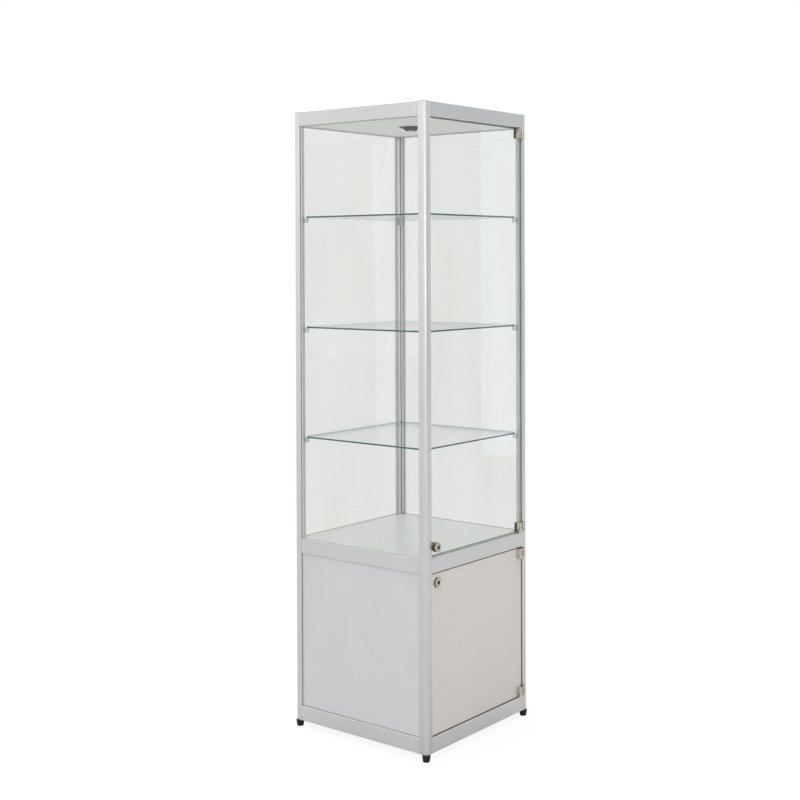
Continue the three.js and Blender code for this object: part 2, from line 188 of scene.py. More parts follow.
class Finish:
    """A surface finish. Its material is made the first time that it is asked for."""

    family = "finish"
    label = ""
    _made: dict["Finish", bpy.types.Material] = {}

    @property
    def title(self) -> str:
        """The material's name."""
        return self.family + self.label

    def material(self) -> bpy.types.Material:
        """Gives the finish's material, the same one each time."""
        if self not in Finish._made:
            made = bpy.data.materials.new(self.title)
            made.use_nodes = True
            made.node_tree.nodes.clear()
            output = add_node(made.node_tree, "ShaderNodeOutputMaterial")
            shader = self.shade(made.node_tree)
            made.node_tree.links.new(shader, output.inputs["Surface"])
            Finish._made[self] = made
        return Finish._made[self]

    def shade(self, tree: Tree) -> Socket:
        """Builds the finish's nodes and gives the shader socket."""
        raise NotImplementedError

    @staticmethod
    def pattern(tree: Tree, size: Sequence[float], detail: float) -> Socket:
        """Adds a noise whose cells have a real size.

        Args:
            tree: The material's node tree.
            size: Length of one cell along X, Y and Z, in millimetres.
            detail: Octaves of finer noise.

        Returns:
            The noise's value.
        """
        coordinates = add_node(tree, "ShaderNodeTexCoord")
        scale = tuple(1 / (length * MM) for length in size)
        links = {"Vector": coordinates.outputs["Object"]}
        mapping = add_node(tree, "ShaderNodeMapping", {"Scale": scale}, links)
        settings = {"Scale": 1.0, "Detail": detail}
        links = {"Vector": mapping.outputs["Vector"]}
        return add_node(tree, "ShaderNodeTexNoise", settings, links).outputs["Fac"]

    @staticmethod
    def spread(tree: Tree, source: Socket, low: float, high: float) -> Socket:
        """Maps the middle of a noise, 0.3 to 0.7, to low and high."""
        settings = {"From Min": 0.3, "From Max": 0.7, "To Min": low, "To Max": high}
        return add_node(tree, "ShaderNodeMapRange", settings, {"Value": source}).outputs["Result"]

    def tone(self, tree: Tree, noise: Socket, first: str, second: str) -> Socket:
        """Blends two sRGB colours by a noise."""
        node = add_node(tree, "ShaderNodeMix", {"data_type": "RGBA"})
        node.inputs[6].default_value = linear(first)
        node.inputs[7].default_value = linear(second)
        tree.links.new(self.spread(tree, noise, 0.0, 1.0), node.inputs[0])
        return node.outputs[2]

    @staticmethod
    def bump(tree: Tree, height: Socket, strength: float, depth: float) -> Socket:
        """Turns a height into a normal; depth is in millimetres."""
        settings = {"Strength": strength, "Distance": depth * MM}
        return add_node(tree, "ShaderNodeBump", settings, {"Height": height}).outputs["Normal"]

    @staticmethod
    def surface(
        tree: Tree,
        settings: dict,
        colour: Socket,
        roughness: Socket,
        normal: Socket,
    ) -> Socket:
        """Adds a solid surface.

        Args:
            tree: The material's node tree.
            settings: Values by input name.
            colour: Its base colour.
            roughness: Its roughness.
            normal: Its normal.

        Returns:
            The shader socket.
        """
        links = {"Base Color": colour, "Roughness": roughness, "Normal": normal}
        return add_node(tree, "ShaderNodeBsdfPrincipled", settings, links).outputs["BSDF"]


@dataclass(frozen=True)
class SatinAluminium(Finish):
    """Extruded aluminium, satin anodised: a soft sheen with faint die lines along the profile."""

    family = "satin anodised aluminium along "
    grain: Axis = Axis.Z
    colour: str = "#e2e2e1"
    shade_colour: str = "#dddedc"
    line_width: float = 0.9
    line_length: float = 260.0
    grit: float = 1.1
    roughness: tuple[float, float] = (0.36, 0.46)

    @property
    def label(self) -> str:
        """The grain's direction."""
        return self.grain.name.lower()

    def shade(self, tree: Tree) -> Socket:
        """Builds the die lines, the etched grit and the metal under them."""
        size = [self.line_length if part else self.line_width for part in self.grain.value]
        lines = self.pattern(tree, size, 3.0)
        grit = self.pattern(tree, [self.grit] * 3, 1.0)
        cloud = self.pattern(tree, (180.0, 180.0, 420.0), 2.0)
        height = maths(tree, "MULTIPLY_ADD", lines, 0.6, grit)
        return self.surface(
            tree,
            {"Metallic": 1.0},
            self.tone(tree, cloud, self.colour, self.shade_colour),
            self.spread(tree, lines, *self.roughness),
            self.bump(tree, height, 0.12, 0.05),
        )


@dataclass(frozen=True)
class MelamineBoard(Finish):
    """Melamine-faced board: a hard satin skin whose fine pearl texture breaks up reflections."""

    family = "melamine-faced board, "
    label: str = "pale grey"
    colour: str = "#dfe1e1"
    shade_colour: str = "#dddfdf"
    pearl: float = 1.4
    roughness: tuple[float, float] = (0.26, 0.36)
    depth: float = 0.04
    glow: float = 0.0

    def shade(self, tree: Tree) -> Socket:
        """Builds the printed tone, the pearl texture, the resin skin and the painted glow, an
        emission that is painted light.
        """
        pearl = self.pattern(tree, [self.pearl] * 3, 2.0)
        cloud = self.pattern(tree, (120.0, 120.0, 160.0), 3.0)
        return self.surface(
            tree,
            {"IOR": 1.5, "Emission Color": linear(self.colour), "Emission Strength": self.glow},
            self.tone(tree, cloud, self.colour, self.shade_colour),
            self.spread(tree, pearl, *self.roughness),
            self.bump(tree, pearl, 0.25, self.depth),
        )


@dataclass(frozen=True)
class FloatGlass(Finish):
    """Clear float glass: nearly colourless seen square on, with a faint grey-green cast."""

    family = "clear float glass, "
    label: str = "pane"
    cast: str = "#f9faf9"
    smear_cast: str = "#f8f8f7"
    lamp_cast: str = "#fefefe"
    reflectance: float = 0.04
    falloff: float = 5.0

    def shade(self, tree: Tree) -> Socket:
        """Builds a see-through skin whose mirror share grows at grazing angles, as glass does."""
        cloud = self.pattern(tree, (140.0, 140.0, 520.0), 2.0)
        facing = add_node(tree, "ShaderNodeLayerWeight", {"Blend": 0.5}).outputs["Facing"]
        grazing = maths(tree, "POWER", facing, self.falloff)
        share = maths(tree, "MULTIPLY_ADD", grazing, 1 - self.reflectance, self.reflectance)
        links = {"Color": self.tone(tree, cloud, self.cast, self.smear_cast)}
        clear = add_node(tree, "ShaderNodeBsdfTransparent", links=links)
        mirror = add_node(tree, "ShaderNodeBsdfGlossy", {"Color": WHITE, "Roughness": 0.0})
        skin = mix(tree, share, clear.outputs["BSDF"], mirror.outputs["BSDF"])
        rays = add_node(tree, "ShaderNodeLightPath")
        passing = add_node(tree, "ShaderNodeBsdfTransparent", {"Color": linear(self.lamp_cast)})
        return mix(tree, rays.outputs["Is Shadow Ray"], skin, passing.outputs["BSDF"])


@dataclass(frozen=True)
class GlassEdge(Finish):
    """Ground edge of float glass: the sheet's green, deepened by the long way through it."""

    family = "float glass, "
    label: str = "ground edge"
    colour: str = "#135c4a"
    deep_colour: str = "#0d4638"
    roughness: float = 0.2

    def shade(self, tree: Tree) -> Socket:
        """Builds the green depth and the faint grinding marks across the edge."""
        marks = self.pattern(tree, (2.5, 2.5, 60.0), 2.0)
        cloud = self.pattern(tree, (60.0, 60.0, 30.0), 2.0)
        return self.surface(
            tree,
            {"IOR": 1.52, "Coat Weight": 0.15, "Coat Roughness": 0.1},
            self.tone(tree, cloud, self.colour, self.deep_colour),
            self.spread(tree, marks, self.roughness, self.roughness + 0.12),
            self.bump(tree, marks, 0.1, 0.02),
        )


@dataclass(frozen=True)
class PlatedMetal(Finish):
    """Nickel and chrome plated zinc: a warm mirror, a little dulled by handling."""

    family = "nickel plated zinc, "
    label: str = "bright"
    colour: str = "#d9d4cb"
    shade_colour: str = "#c9c2b6"
    roughness: tuple[float, float] = (0.08, 0.2)

    def shade(self, tree: Tree) -> Socket:
        """Builds the handling haze and the casting's slight waviness under the plating."""
        haze = self.pattern(tree, (3.0, 3.0, 4.0), 3.0)
        wave = self.pattern(tree, (6.0, 6.0, 6.0), 1.0)
        return self.surface(
            tree,
            {"Metallic": 1.0},
            self.tone(tree, wave, self.colour, self.shade_colour),
            self.spread(tree, haze, *self.roughness),
            self.bump(tree, wave, 0.2, 0.06),
        )


@dataclass(frozen=True)
class MouldedPlastic(Finish):
    """Moulded plastic or rubber: one colour all through, with a spark-eroded mould texture."""

    family = "moulded "
    label: str = "black nylon"
    colour: str = "#070707"
    worn_colour: str = "#0e0e0e"
    texture: float = 0.8
    roughness: tuple[float, float] = (0.42, 0.6)
    depth: float = 0.08
    glow: float = 0.0

    def shade(self, tree: Tree) -> Socket:
        """Builds the mould texture, the slight scuffing of the colour and the painted glow, an
        emission that is painted light.
        """
        texture = self.pattern(tree, [self.texture] * 3, 2.0)
        scuff = self.pattern(tree, (14.0, 14.0, 9.0), 4.0)
        return self.surface(
            tree,
            {"IOR": 1.5, "Emission Color": linear(self.colour), "Emission Strength": self.glow},
            self.tone(tree, scuff, self.colour, self.worn_colour),
            self.spread(tree, texture, *self.roughness),
            self.bump(tree, texture, 0.4, self.depth),
        )


@dataclass(frozen=True)
class ClearPlastic(Finish):
    """Moulded clear polycarbonate: glassy, with a little haze that greys what lies behind."""

    family = "moulded clear polycarbonate"
    cast: str = "#eef1ef"
    haze_colour: str = "#c9cecb"
    haze: tuple[float, float] = (0.16, 0.3)
    roughness: tuple[float, float] = (0.08, 0.2)

    def shade(self, tree: Tree) -> Socket:
        """Builds a see-through body with patches of haze and a glossy skin."""
        flow = self.pattern(tree, (5.0, 5.0, 3.0), 3.0)
        skin = add_node(
            tree,
            "ShaderNodeBsdfPrincipled",
            {"Base Color": linear(self.haze_colour), "IOR": 1.58},
            {
                "Roughness": self.spread(tree, flow, *self.roughness),
                "Normal": self.bump(tree, flow, 0.15, 0.05),
            },
        )
        clear = add_node(tree, "ShaderNodeBsdfTransparent", {"Color": linear(self.cast)})
        share = self.spread(tree, flow, *self.haze)
        return mix(tree, share, clear.outputs["BSDF"], skin.outputs["BSDF"])


@dataclass(frozen=True)
class StudioPaper(Finish):
    """Seamless studio background paper: matt white with a faint fibre mottle."""

    family = "seamless white background paper"
    colour: str = "#d6d6d6"
    mottle_colour: str = "#d3d3d3"
    burn: float = 0.85
    burnt_strength: float = 1.06

    def shade(self, tree: Tree) -> Socket:
        """Builds the paper's mottle, burnt out to white where it is seen directly."""
        mottle = self.pattern(tree, (40.0, 40.0, 40.0), 3.0)
        links = {"Color": self.tone(tree, mottle, self.colour, self.mottle_colour)}
        paper = add_node(tree, "ShaderNodeBsdfDiffuse", {"Roughness": 0.2}, links)
        burnt = add_node(tree, "ShaderNodeEmission", {"Strength": self.burnt_strength})
        rays = add_node(tree, "ShaderNodeLightPath")
        seen = maths(tree, "MULTIPLY", rays.outputs["Is Camera Ray"], self.burn)
        return mix(tree, seen, paper.outputs["BSDF"], burnt.outputs["Emission"])


DECK_BOARD = MelamineBoard()
# The ceiling board's glow is painted light, and its colour is raised past the board's own white for
# the same reason: it stands for light reaching under the top cover.
CEILING_BOARD = MelamineBoard("white", "#f8f8f6", "#f6f6f4", roughness=(0.4, 0.5), glow=0.09)
CUPBOARD_BOARD = MelamineBoard("silver grey", "#d4d4d6", "#d2d2d4", roughness=(0.4, 0.52))
DOOR_BOARD = MelamineBoard("warm white", "#dad4ce", "#d8d2cc", roughness=(0.34, 0.44))
EDGE_BAND = MelamineBoard(
    "white edge band", "#f2f0ec", "#eeece8", roughness=(0.3, 0.4), depth=0.02
)
GLASS = FloatGlass()
SHELF_GLASS = FloatGlass("shelf", cast="#fbfcfb", smear_cast="#fafbfa")
GROUND_EDGE = GlassEdge()
SEAMED_EDGE = GlassEdge("seamed edge", "#a4bab0", "#94aba1", 0.3)
ARRIS = GlassEdge("arris", "#c5f0e6", "#b0e2d6", 0.3)
PLATED = PlatedMetal()
PLATED_BARREL = PlatedMetal("cam lock", "#d2ccc2", "#bfb7aa", (0.12, 0.24))
POLISHED = PlatedMetal("polished", "#f4f2ef", "#e9e6e1", (0.1, 0.2))
BRASSED = PlatedMetal("brassed barrel", "#a8957a", "#927f66", (0.14, 0.26))
# Near-black plating for faces of the hinges and locks: painted dark reflection, standing for the
# dark room that the chrome mirrors.
PAINTED_DARK_REFLECTION = PlatedMetal("blackened recess", "#35322e", "#272521", (0.2, 0.32))
# Black for places that lie only in shade: the posts' shelf slots, the board door's top and bottom
# edges and the strips behind the doors' edges. It is painted shade.
PAINTED_SHADE_BLACK = MouldedPlastic("black slot strip", "#1c1d1c", "#262726")
NYLON = MouldedPlastic()
GASKET = MouldedPlastic("dark gasket rubber", "#2e302e", "#393b39", 0.6, (0.55, 0.72), 0.05)
# Light grey, glowing copy of the dark gasket rubber for its faces along the glass: painted light,
# standing for light that comes through the pane into the groove.
GASKET_PAINTED_LIGHT = MouldedPlastic(
    "gasket rubber lit along the glass", "#dcdedb", "#d6d8d5", 0.6, (0.55, 0.72), 0.05, glow=0.4
)
CAP_PLASTIC = MouldedPlastic("silver grey nylon", "#b9bab9", "#b1b2b1", 0.9, (0.45, 0.6), 0.05)
LIGHT_BODY = MouldedPlastic(
    "anthracite lamp housing", "#1b2026", "#22282f", 0.7, (0.34, 0.46), 0.04
)
LENS = MouldedPlastic("frosted lens", "#dfe2e0", "#d6dad8", 0.5, (0.3, 0.4), 0.03)
CLEAR = ClearPlastic()


# ------------------------------------------------------------------------------
# Modelling steps
# ------------------------------------------------------------------------------

@contextmanager
def editing(piece: Piece) -> Iterator[None]:
    """Opens one piece alone in edit mode, and closes it again."""
    only(piece)
    bpy.ops.object.mode_set(mode="EDIT")
    try:
        yield
    finally:
        bpy.ops.object.mode_set(mode="OBJECT")


def only(piece: Piece) -> None:
    """Selects one object and nothing else."""
    bpy.ops.object.select_all(action="DESELECT")
    piece.select_set(True)
    bpy.context.view_layer.objects.active = piece


def pick(piece: Piece, kind: Element, rule: Rule) -> int:
    """Selects, in edit mode, what a rule holds for.

    Args:
        piece: The object in edit mode.
        kind: What to select.
        rule: Told each element's centre, and a face's normal or an edge's direction.

    Returns:
        How many elements are selected.
    """
    bpy.ops.mesh.select_mode(type=kind.value)
    bpy.ops.mesh.select_all(action="DESELECT")
    mesh = bmesh.from_edit_mesh(piece.data)
    if kind is Element.FACE:
        found = [f for f in mesh.faces if rule(f.calc_center_median(), f.normal)]
    else:
        found = [e for e in mesh.edges if rule(*middle_and_direction(e))]
    for element in found:
        element.select_set(True)
    mesh.select_flush_mode()
    bmesh.update_edit_mesh(piece.data)
    return len(found)


def middle_and_direction(edge: bmesh.types.BMEdge) -> tuple[Vector, Vector]:
    """Gives an edge's midpoint and its direction as a unit vector."""
    start, end = (vertex.co for vertex in edge.verts)
    return (start + end) / 2, (end - start).normalized()


def upright(_: Vector, direction: Vector) -> bool:
    """Is a rule for upright edges."""
    return along(direction, Axis.Z)


def upright_at(x: float, y: float) -> Rule:
    """Gives a rule for the upright edge at a place in plan, in metres."""
    return lambda c, d: along(d, Axis.Z) and near(c.x, x) and near(c.y, y)


def near(value: float, target: float, slack: float = 2e-5) -> bool:
    """Says whether two lengths in metres are the same."""
    return abs(value - target) <= slack


def along(direction: Vector, axis: Axis) -> bool:
    """Says whether a direction lies along an axis, either way."""
    return abs(direction.dot(Vector(axis.value))) > 0.999


def settle(piece: Piece) -> Piece:
    """Puts the object's place, turn and size into its mesh."""
    only(piece)
    bpy.ops.object.transform_apply(location=True, rotation=True, scale=True)
    return piece


def block(name: str, low: Sequence[float], high: Sequence[float]) -> Piece:
    """Adds a cube primitive that fills the box between two corners.

    Args:
        name: The piece's name.
        low: Lowest corner in metres.
        high: Highest corner in metres.

    Returns:
        The piece, with its place in its mesh.
    """
    low, high = Vector(low), Vector(high)
    bpy.ops.mesh.primitive_cube_add(size=1, location=(low + high) / 2)
    piece = bpy.context.active_object
    piece.name = piece.data.name = name
    piece.scale = high - low
    return settle(piece)


def turned(name: str, profile: Sequence[tuple[float, float]], segments: int) -> Piece:
    """Makes a turned piece about +Z from a ring that is extruded and scaled along a profile.

    Args:
        name: The piece's name.
        profile: Radius and height of each ring in millimetres. A profile that ends where it starts
            makes a ring with a bore, and any other is closed with a flat face at both ends.
        segments: Sides of each ring.

    Returns:
        The piece, with its axis on +Z through the origin.
    """
    bored = profile[0] == profile[-1]
    radius, height = profile[0]
    bpy.ops.mesh.primitive_circle_add(
        vertices=segments,
        radius=radius * MM,
        location=(0, 0, height * MM),
        fill_type="NOTHING" if bored else "NGON",
    )
    piece = bpy.context.active_object
    piece.name = piece.data.name = name
    settle(piece)
    with editing(piece):
        bpy.ops.mesh.select_mode(type="EDGE")
        bpy.ops.mesh.select_all(action="SELECT")
        for next_radius, next_height in profile[1:]:
            rise = (0, 0, (next_height - height) * MM)
            bpy.ops.mesh.extrude_region_move(TRANSFORM_OT_translate={"value": rise})
            if next_radius != radius:
                factor = next_radius / radius
                bpy.ops.transform.resize(value=(factor, factor, 1), center_override=(0, 0, 0))
            radius, height = next_radius, next_height
        clean(1e-6)
    return piece


def clean(threshold: float = 1e-7) -> None:
    """Merges points nearer than a threshold in metres and turns all faces out, in edit mode."""
    bpy.ops.mesh.select_all(action="SELECT")
    bpy.ops.mesh.remove_doubles(threshold=threshold)
    bpy.ops.mesh.normals_make_consistent(inside=False)


def arc(
    centre: tuple[float, float], radius: float, start: float, end: float, steps: int = 5
) -> list[tuple[float, float]]:
    """Gives profile points on an arc.

    Args:
        centre: Radius and height of the arc's centre in millimetres.
        radius: Its radius in millimetres.
        start: First angle in degrees, from outwards towards upwards.
        end: Last angle in degrees.
        steps: Segments of the arc.

    Returns:
        Radius and height of each point in millimetres.
    """
    angles = (math.radians(start + (end - start) * i / steps) for i in range(steps + 1))
    return [(centre[0] + radius * math.cos(a), centre[1] + radius * math.sin(a)) for a in angles]


def push(piece: Piece, rule: Rule, move: Sequence[float]) -> None:
    """Extrudes the faces that a rule picks, in edit mode, by a vector in metres."""
    pick(piece, Element.FACE, rule)
    bpy.ops.mesh.extrude_region_move(TRANSFORM_OT_translate={"value": move})


def slice_at(point: Sequence[float], normal: Sequence[float]) -> None:
    """Cuts a line of edges all round the piece in edit mode, where a plane crosses it."""
    bpy.ops.mesh.select_all(action="SELECT")
    bpy.ops.mesh.bisect(plane_co=point, plane_no=normal)


def round_edges(piece: Piece, rule: Rule, width: float, segments: int) -> None:
    """Bevels the edges that a rule picks; width is in millimetres."""
    with editing(piece):
        pick(piece, Element.EDGE, rule)
        bpy.ops.mesh.bevel(offset=width * MM, segments=segments, affect="EDGES")


def add_bevel(piece: Piece, width: float, segments: int = 2, angle: float = 35.0) -> None:
    """Adds a live bevel to edges sharper than an angle in degrees; width is in millimetres."""
    modifier = piece.modifiers.new("soft edges", "BEVEL")
    modifier.width = width * MM
    modifier.segments = segments
    modifier.limit_method = "ANGLE"
    modifier.angle_limit = math.radians(angle)


def soften(piece: Piece, width: float, segments: int = 2, angle: float = 35.0) -> None:
    """Bevels every edge sharper than an angle in degrees; width is in millimetres."""
    add_bevel(piece, width, segments, angle)
    apply_last(piece)


def apply_last(piece: Piece) -> None:
    """Applies the piece's last modifier."""
    only(piece)
    bpy.ops.object.modifier_apply(modifier=piece.modifiers[-1].name)


def join(pieces: Sequence[Piece]) -> Piece:
    """Joins pieces into the first one, each as it is."""
    only(pieces[0])
    for piece in pieces[1:]:
        piece.select_set(True)
    bpy.ops.object.join()
    return pieces[0]


def combine(piece: Piece, tools: Sequence[Piece], how: str) -> Piece:
    """Joins tools to a piece or takes them away from it, and removes the tools.

    Args:
        piece: The piece that stays.
        tools: The other bodies, each closed and clear of its own faces.
        how: UNION or DIFFERENCE.

    Returns:
        The piece.

    Raises:
        RuntimeError: A step left nothing of the piece.
    """
    for tool in tools:
        modifier = piece.modifiers.new(how.lower(), "BOOLEAN")
        modifier.operation = how
        modifier.solver = "EXACT"
        modifier.object = tool
        apply_last(piece)
        bpy.data.objects.remove(tool)
        if not piece.data.polygons:
            raise RuntimeError(f"nothing is left of {piece.name}")
    return piece


def smooth(piece: Piece, angle: float = 30.0) -> Piece:
    """Shades a piece smooth across edges up to an angle in degrees."""
    only(piece)
    bpy.ops.object.shade_smooth_by_angle(angle=math.radians(angle))
    return piece


def copy_of(piece: Piece, name: str) -> Piece:
    """Copies a piece together with its mesh."""
    twin = piece.copy()
    twin.data = piece.data.copy()
    twin.name = twin.data.name = name
    bpy.context.scene.collection.objects.link(twin)
    return twin


def place(piece: Piece, matrix: Matrix) -> Piece:
    """Moves a piece by a matrix and puts the place into its mesh."""
    piece.matrix_world = matrix @ piece.matrix_world
    return settle(piece)


def turn(degrees: float, axis: str = "Z") -> Matrix:
    """Gives the matrix of a turn about an axis through the origin."""
    return Matrix.Rotation(math.radians(degrees), 4, axis)


def dress(piece: Piece, finish: Finish) -> Piece:
    """Gives the whole piece one finish."""
    piece.data.materials.clear()
    piece.data.materials.append(finish.material())
    return piece


def dress_faces(piece: Piece, finish: Finish, rule: Rule) -> None:
    """Gives the faces that a rule picks a finish of their own."""
    piece.data.materials.append(finish.material())
    with editing(piece):
        piece.active_material_index = len(piece.data.materials) - 1
        if pick(piece, Element.FACE, rule):
            bpy.ops.object.material_slot_assign()


def fit(piece: Piece, body: str, replaced: Sequence[str] = ()) -> Piece:
    """Fits a finished piece to the frame and reports it.

    Args:
        piece: The finished piece.
        body: The CAD body that it moves with.
        replaced: The CAD nodes that it stands for.

    Returns:
        The piece.
    """
    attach(piece, body)
    if replaced:
        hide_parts(*replaced)
    LOG.info("%s on %s, %d faces", piece.name, body, len(piece.data.polygons))
    return piece


def keep(node: str, finish: Finish, edge: float = 0.0) -> None:
    """Gives a CAD node a finish, and softens its edges with live modifiers.

    Args:
        node: The CAD node's name.
        finish: Its finish.
        edge: Width of the softened edges in millimetres, or 0 for none.
    """
    piece = frame["nodes"][node]
    if not piece.material_slots:
        piece.data.materials.append(None)
    for slot in piece.material_slots:
        slot.material = finish.material()
    if edge:
        weld = piece.modifiers.new("one surface", "WELD")
        weld.merge_threshold = 1e-6
        plane = piece.modifiers.new("whole faces", "DECIMATE")
        plane.decimate_type = "DISSOLVE"
        plane.angle_limit = math.radians(1)
        add_bevel(piece, edge)
    LOG.info("%s kept, in %s", node, finish.title)


# ------------------------------------------------------------------------------
# Sub-assemblies
# ------------------------------------------------------------------------------


@dataclass
class Posts:
    """The four corner posts and their end caps: round outside, with grooves and a shelf slot."""

    corner_radius: float = 11.0
    corner_segments: int = 18
    groove: tuple[float, float] = (3.4, 9.6)
    groove_depth: float = 8.0
    inner_chamfer: float = 5.0
    slot_width: float = 2.6
    slot_depth: float = 4.0
    chamber: tuple[float, float] = (4.0, 14.5)
    chamber_radius: float = 2.0
    chamber_roof: float = 3.0
    edge: float = 0.25
    edge_angle: float = 50.0
    cap_thickness: float = 1.6
    cap_gap: float = 0.05
    cap_edge: float = 0.5

    def build(self) -> None:
        """Builds one post and one cap at the front left corner, and copies them to the others."""
        low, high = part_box("front_left_post")
        post = self.extrusion(low, high)
        cap = self.cap(low, high)
        for corner in Corner:
            name = corner.label
            piece = place(copy_of(post, name + "_post_profile"), turn(corner.value))
            fit(piece, CASE, [name + "_post"])
            lid = place(copy_of(cap, name + "_post_end_cap"), turn(corner.value))
            fit(lid, CASE)
        for pattern in (post, cap):
            bpy.data.objects.remove(pattern)

    def rounded(self, name: str, low: Vector, high: Vector) -> Piece:
        """Makes a post-sized bar with the round outer corner and the chamfered inner one."""
        bar = block(name, low, high)
        round_edges(bar, upright_at(low.x, low.y), self.corner_radius, self.corner_segments)
        round_edges(bar, upright_at(high.x, high.y), self.inner_chamfer, 1)
        return bar

    def extrusion(self, low: Vector, high: Vector) -> Piece:
        """Builds the post: grooves in its inner faces, a slot in its chamfer, and a chamber."""
        top = Vector((high.x, high.y, high.z - self.cap_thickness * MM))
        post = self.rounded("post pattern", low, top)
        near_lip, far_lip = (low.x + g * MM for g in self.groove)
        half_slot = self.slot_width / 2 * MM
        with editing(post):
            for lip in (near_lip, far_lip):
                slice_at((lip, 0, 0), (1, 0, 0))
                slice_at((0, lip, 0), (0, 1, 0))
            for offset in (-half_slot, half_slot):
                shift = offset * math.sqrt(2)
                slice_at((high.x + shift, high.y, 0), (1, -1, 0))
            push(
                post,
                lambda c, n: n.x > 0.99 and near_lip < c.y < far_lip,
                (-self.groove_depth * MM, 0, 0),
            )
            push(
                post,
                lambda c, n: n.y > 0.99 and near_lip < c.x < far_lip,
                (0, -self.groove_depth * MM, 0),
            )
            step = -self.slot_depth * MM / math.sqrt(2)
            push(
                post,
                lambda c, n: n.x > 0.6 and n.y > 0.6 and abs(c.x - c.y) < half_slot,
                (step, step, 0),
            )
            clean()
        inner, outer = (low.x + c * MM for c in self.chamber)
        roof = top.z - self.chamber_roof * MM
        chamber = block("chamber", (inner, inner, low.z - MM), (outer, outer, roof))
        round_edges(chamber, upright, self.chamber_radius, 4)
        combine(post, [chamber], "DIFFERENCE")
        soften(post, self.edge, angle=self.edge_angle)
        mouth = (high.x + high.y - self.inner_chamfer * MM) / math.sqrt(2)
        floor = mouth - self.slot_depth * MM

        def in_slot(centre: Vector, _: Vector) -> bool:
            """Is a rule for the walls and floor of the slot."""
            depth = (centre.x + centre.y) / math.sqrt(2)
            across = abs(centre.x - centre.y) / math.sqrt(2)
            return across < half_slot * 1.1 and floor - 3e-4 < depth < mouth - 5e-4

        # The slot's walls and floor are painted black: painted shade for the deep, narrow slot.
        dress_faces(dress(post, SatinAluminium()), PAINTED_SHADE_BLACK, in_slot)
        return smooth(post)

    def cap(self, low: Vector, high: Vector) -> Piece:
        """Builds the moulded cap that closes a post's end."""
        base = Vector((low.x, low.y, high.z - (self.cap_thickness - self.cap_gap) * MM))
        cap = self.rounded("cap pattern", base, high)
        soften(cap, self.cap_edge, 3)
        return smooth(dress(cap, CAP_PLASTIC))


@dataclass
class Rails:
    """The twelve rails between the posts, as packed, with their edges softened."""

    edge: float = 0.3

    def build(self) -> None:
        """Dresses the rails with the grain along each one."""
        for side in ("front", "right", "back", "left"):
            grain = Axis.X if side in ("front", "back") else Axis.Y
            for level in ("top", "middle", "bottom"):
                keep(f"{side}_{level}_rail", SatinAluminium(grain), self.edge)


@dataclass
class Boards:
    """The top cover, the ceiling, both floors and the cupboard's panels."""

    edge: float = 0.4

    def build(self) -> None:
        """Dresses the boards as packed."""
        keep("top_cover", CUPBOARD_BOARD, self.edge)
        keep("ceiling_panel", CEILING_BOARD)
        keep("display_floor", DECK_BOARD, self.edge)
        keep("cupboard_floor", CUPBOARD_BOARD, self.edge)
        for side in Side:
            keep(f"{side.label}_cupboard_panel", CUPBOARD_BOARD, self.edge)


@dataclass
class Glazing:
    """The three fixed panes, and the gaskets that hold every pane and panel in its grooves."""

    lip: float = 0.6
    bite: float = 5.0
    thickness: float = 0.5
    edge: float = 0.12
    clearance: float = 0.05

    def build(self) -> None:
        """Dresses the panes, and builds a gasket on both faces of each sheet."""
        for side in Side:
            keep(f"{side.label}_glass_pane", GLASS)
        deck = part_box("display_floor")[1].z
        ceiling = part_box("front_top_rail")[0].z
        cupboard_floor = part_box("cupboard_floor")[1].z
        cupboard_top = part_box("front_middle_rail")[0].z
        for side in Side:
            self.gasket(side, "glass_pane", deck, ceiling)
            self.gasket(side, "cupboard_panel", cupboard_floor, cupboard_top)

    def gasket(self, side: Side, sheet: str, bottom: float, top: float) -> None:
        """Builds one sheet's gasket.

        Args:
            side: The glazed side.
            sheet: The sheet's name after its side's.
            bottom: Height of the rail's edge under the sheet.
            top: Height of the rail's edge over it.
        """
        low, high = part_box(f"{Side.BACK.label}_{sheet}")
        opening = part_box("front_left_post")[1].x
        rings = []
        spans = (
            (-high.y - (self.thickness + self.clearance) * MM, "outer"),
            (-low.y + self.clearance * MM, "inner"),
        )
        for start, face in spans:
            ring = dress(self.ring(face, start, -opening, bottom, top), GASKET)
            towards = 1 if face == "outer" else -1
            # The faces along the glass get the painted light copy of the rubber, lighter and
            # glowing.
            dress_faces(ring, GASKET_PAINTED_LIGHT, lambda c, n, t=towards: n.y * t > 0.9)
            rings.append(ring)
        piece = join(rings)
        piece.name = piece.data.name = f"{side.label}_{sheet}_gasket"
        place(piece, turn(side.value))
        smooth(piece)
        fit(piece, CASE)

    def ring(self, name: str, start: float, half: float, bottom: float, top: float) -> Piece:
        """Makes a flat frame round an opening in the front plane.

        Args:
            name: The ring's name.
            start: Its lower Y in metres.
            half: Half the opening's width.
            bottom: The opening's lower edge.
            top: The opening's upper edge.

        Returns:
            The ring.
        """
        bite = self.bite * MM
        bpy.ops.mesh.primitive_plane_add(size=1, rotation=(math.pi / 2, 0, 0))
        ring = bpy.context.active_object
        ring.name = name
        ring.location = (0, start, (bottom + top) / 2)
        ring.scale = (2 * (half + bite), top - bottom + 2 * bite, 1)
        settle(ring)
        with editing(ring):
            bpy.ops.mesh.select_all(action="SELECT")
            bpy.ops.mesh.inset(thickness=(self.bite + self.lip) * MM, use_boundary=True)
            bpy.ops.mesh.delete(type="FACE")
            bpy.ops.mesh.select_all(action="SELECT")
            move = (0, self.thickness * MM, 0)
            bpy.ops.mesh.extrude_region_move(TRANSFORM_OT_translate={"value": move})
            bpy.ops.mesh.select_all(action="SELECT")
            bpy.ops.mesh.normals_make_consistent(inside=False)
        soften(ring, self.edge)
        return ring


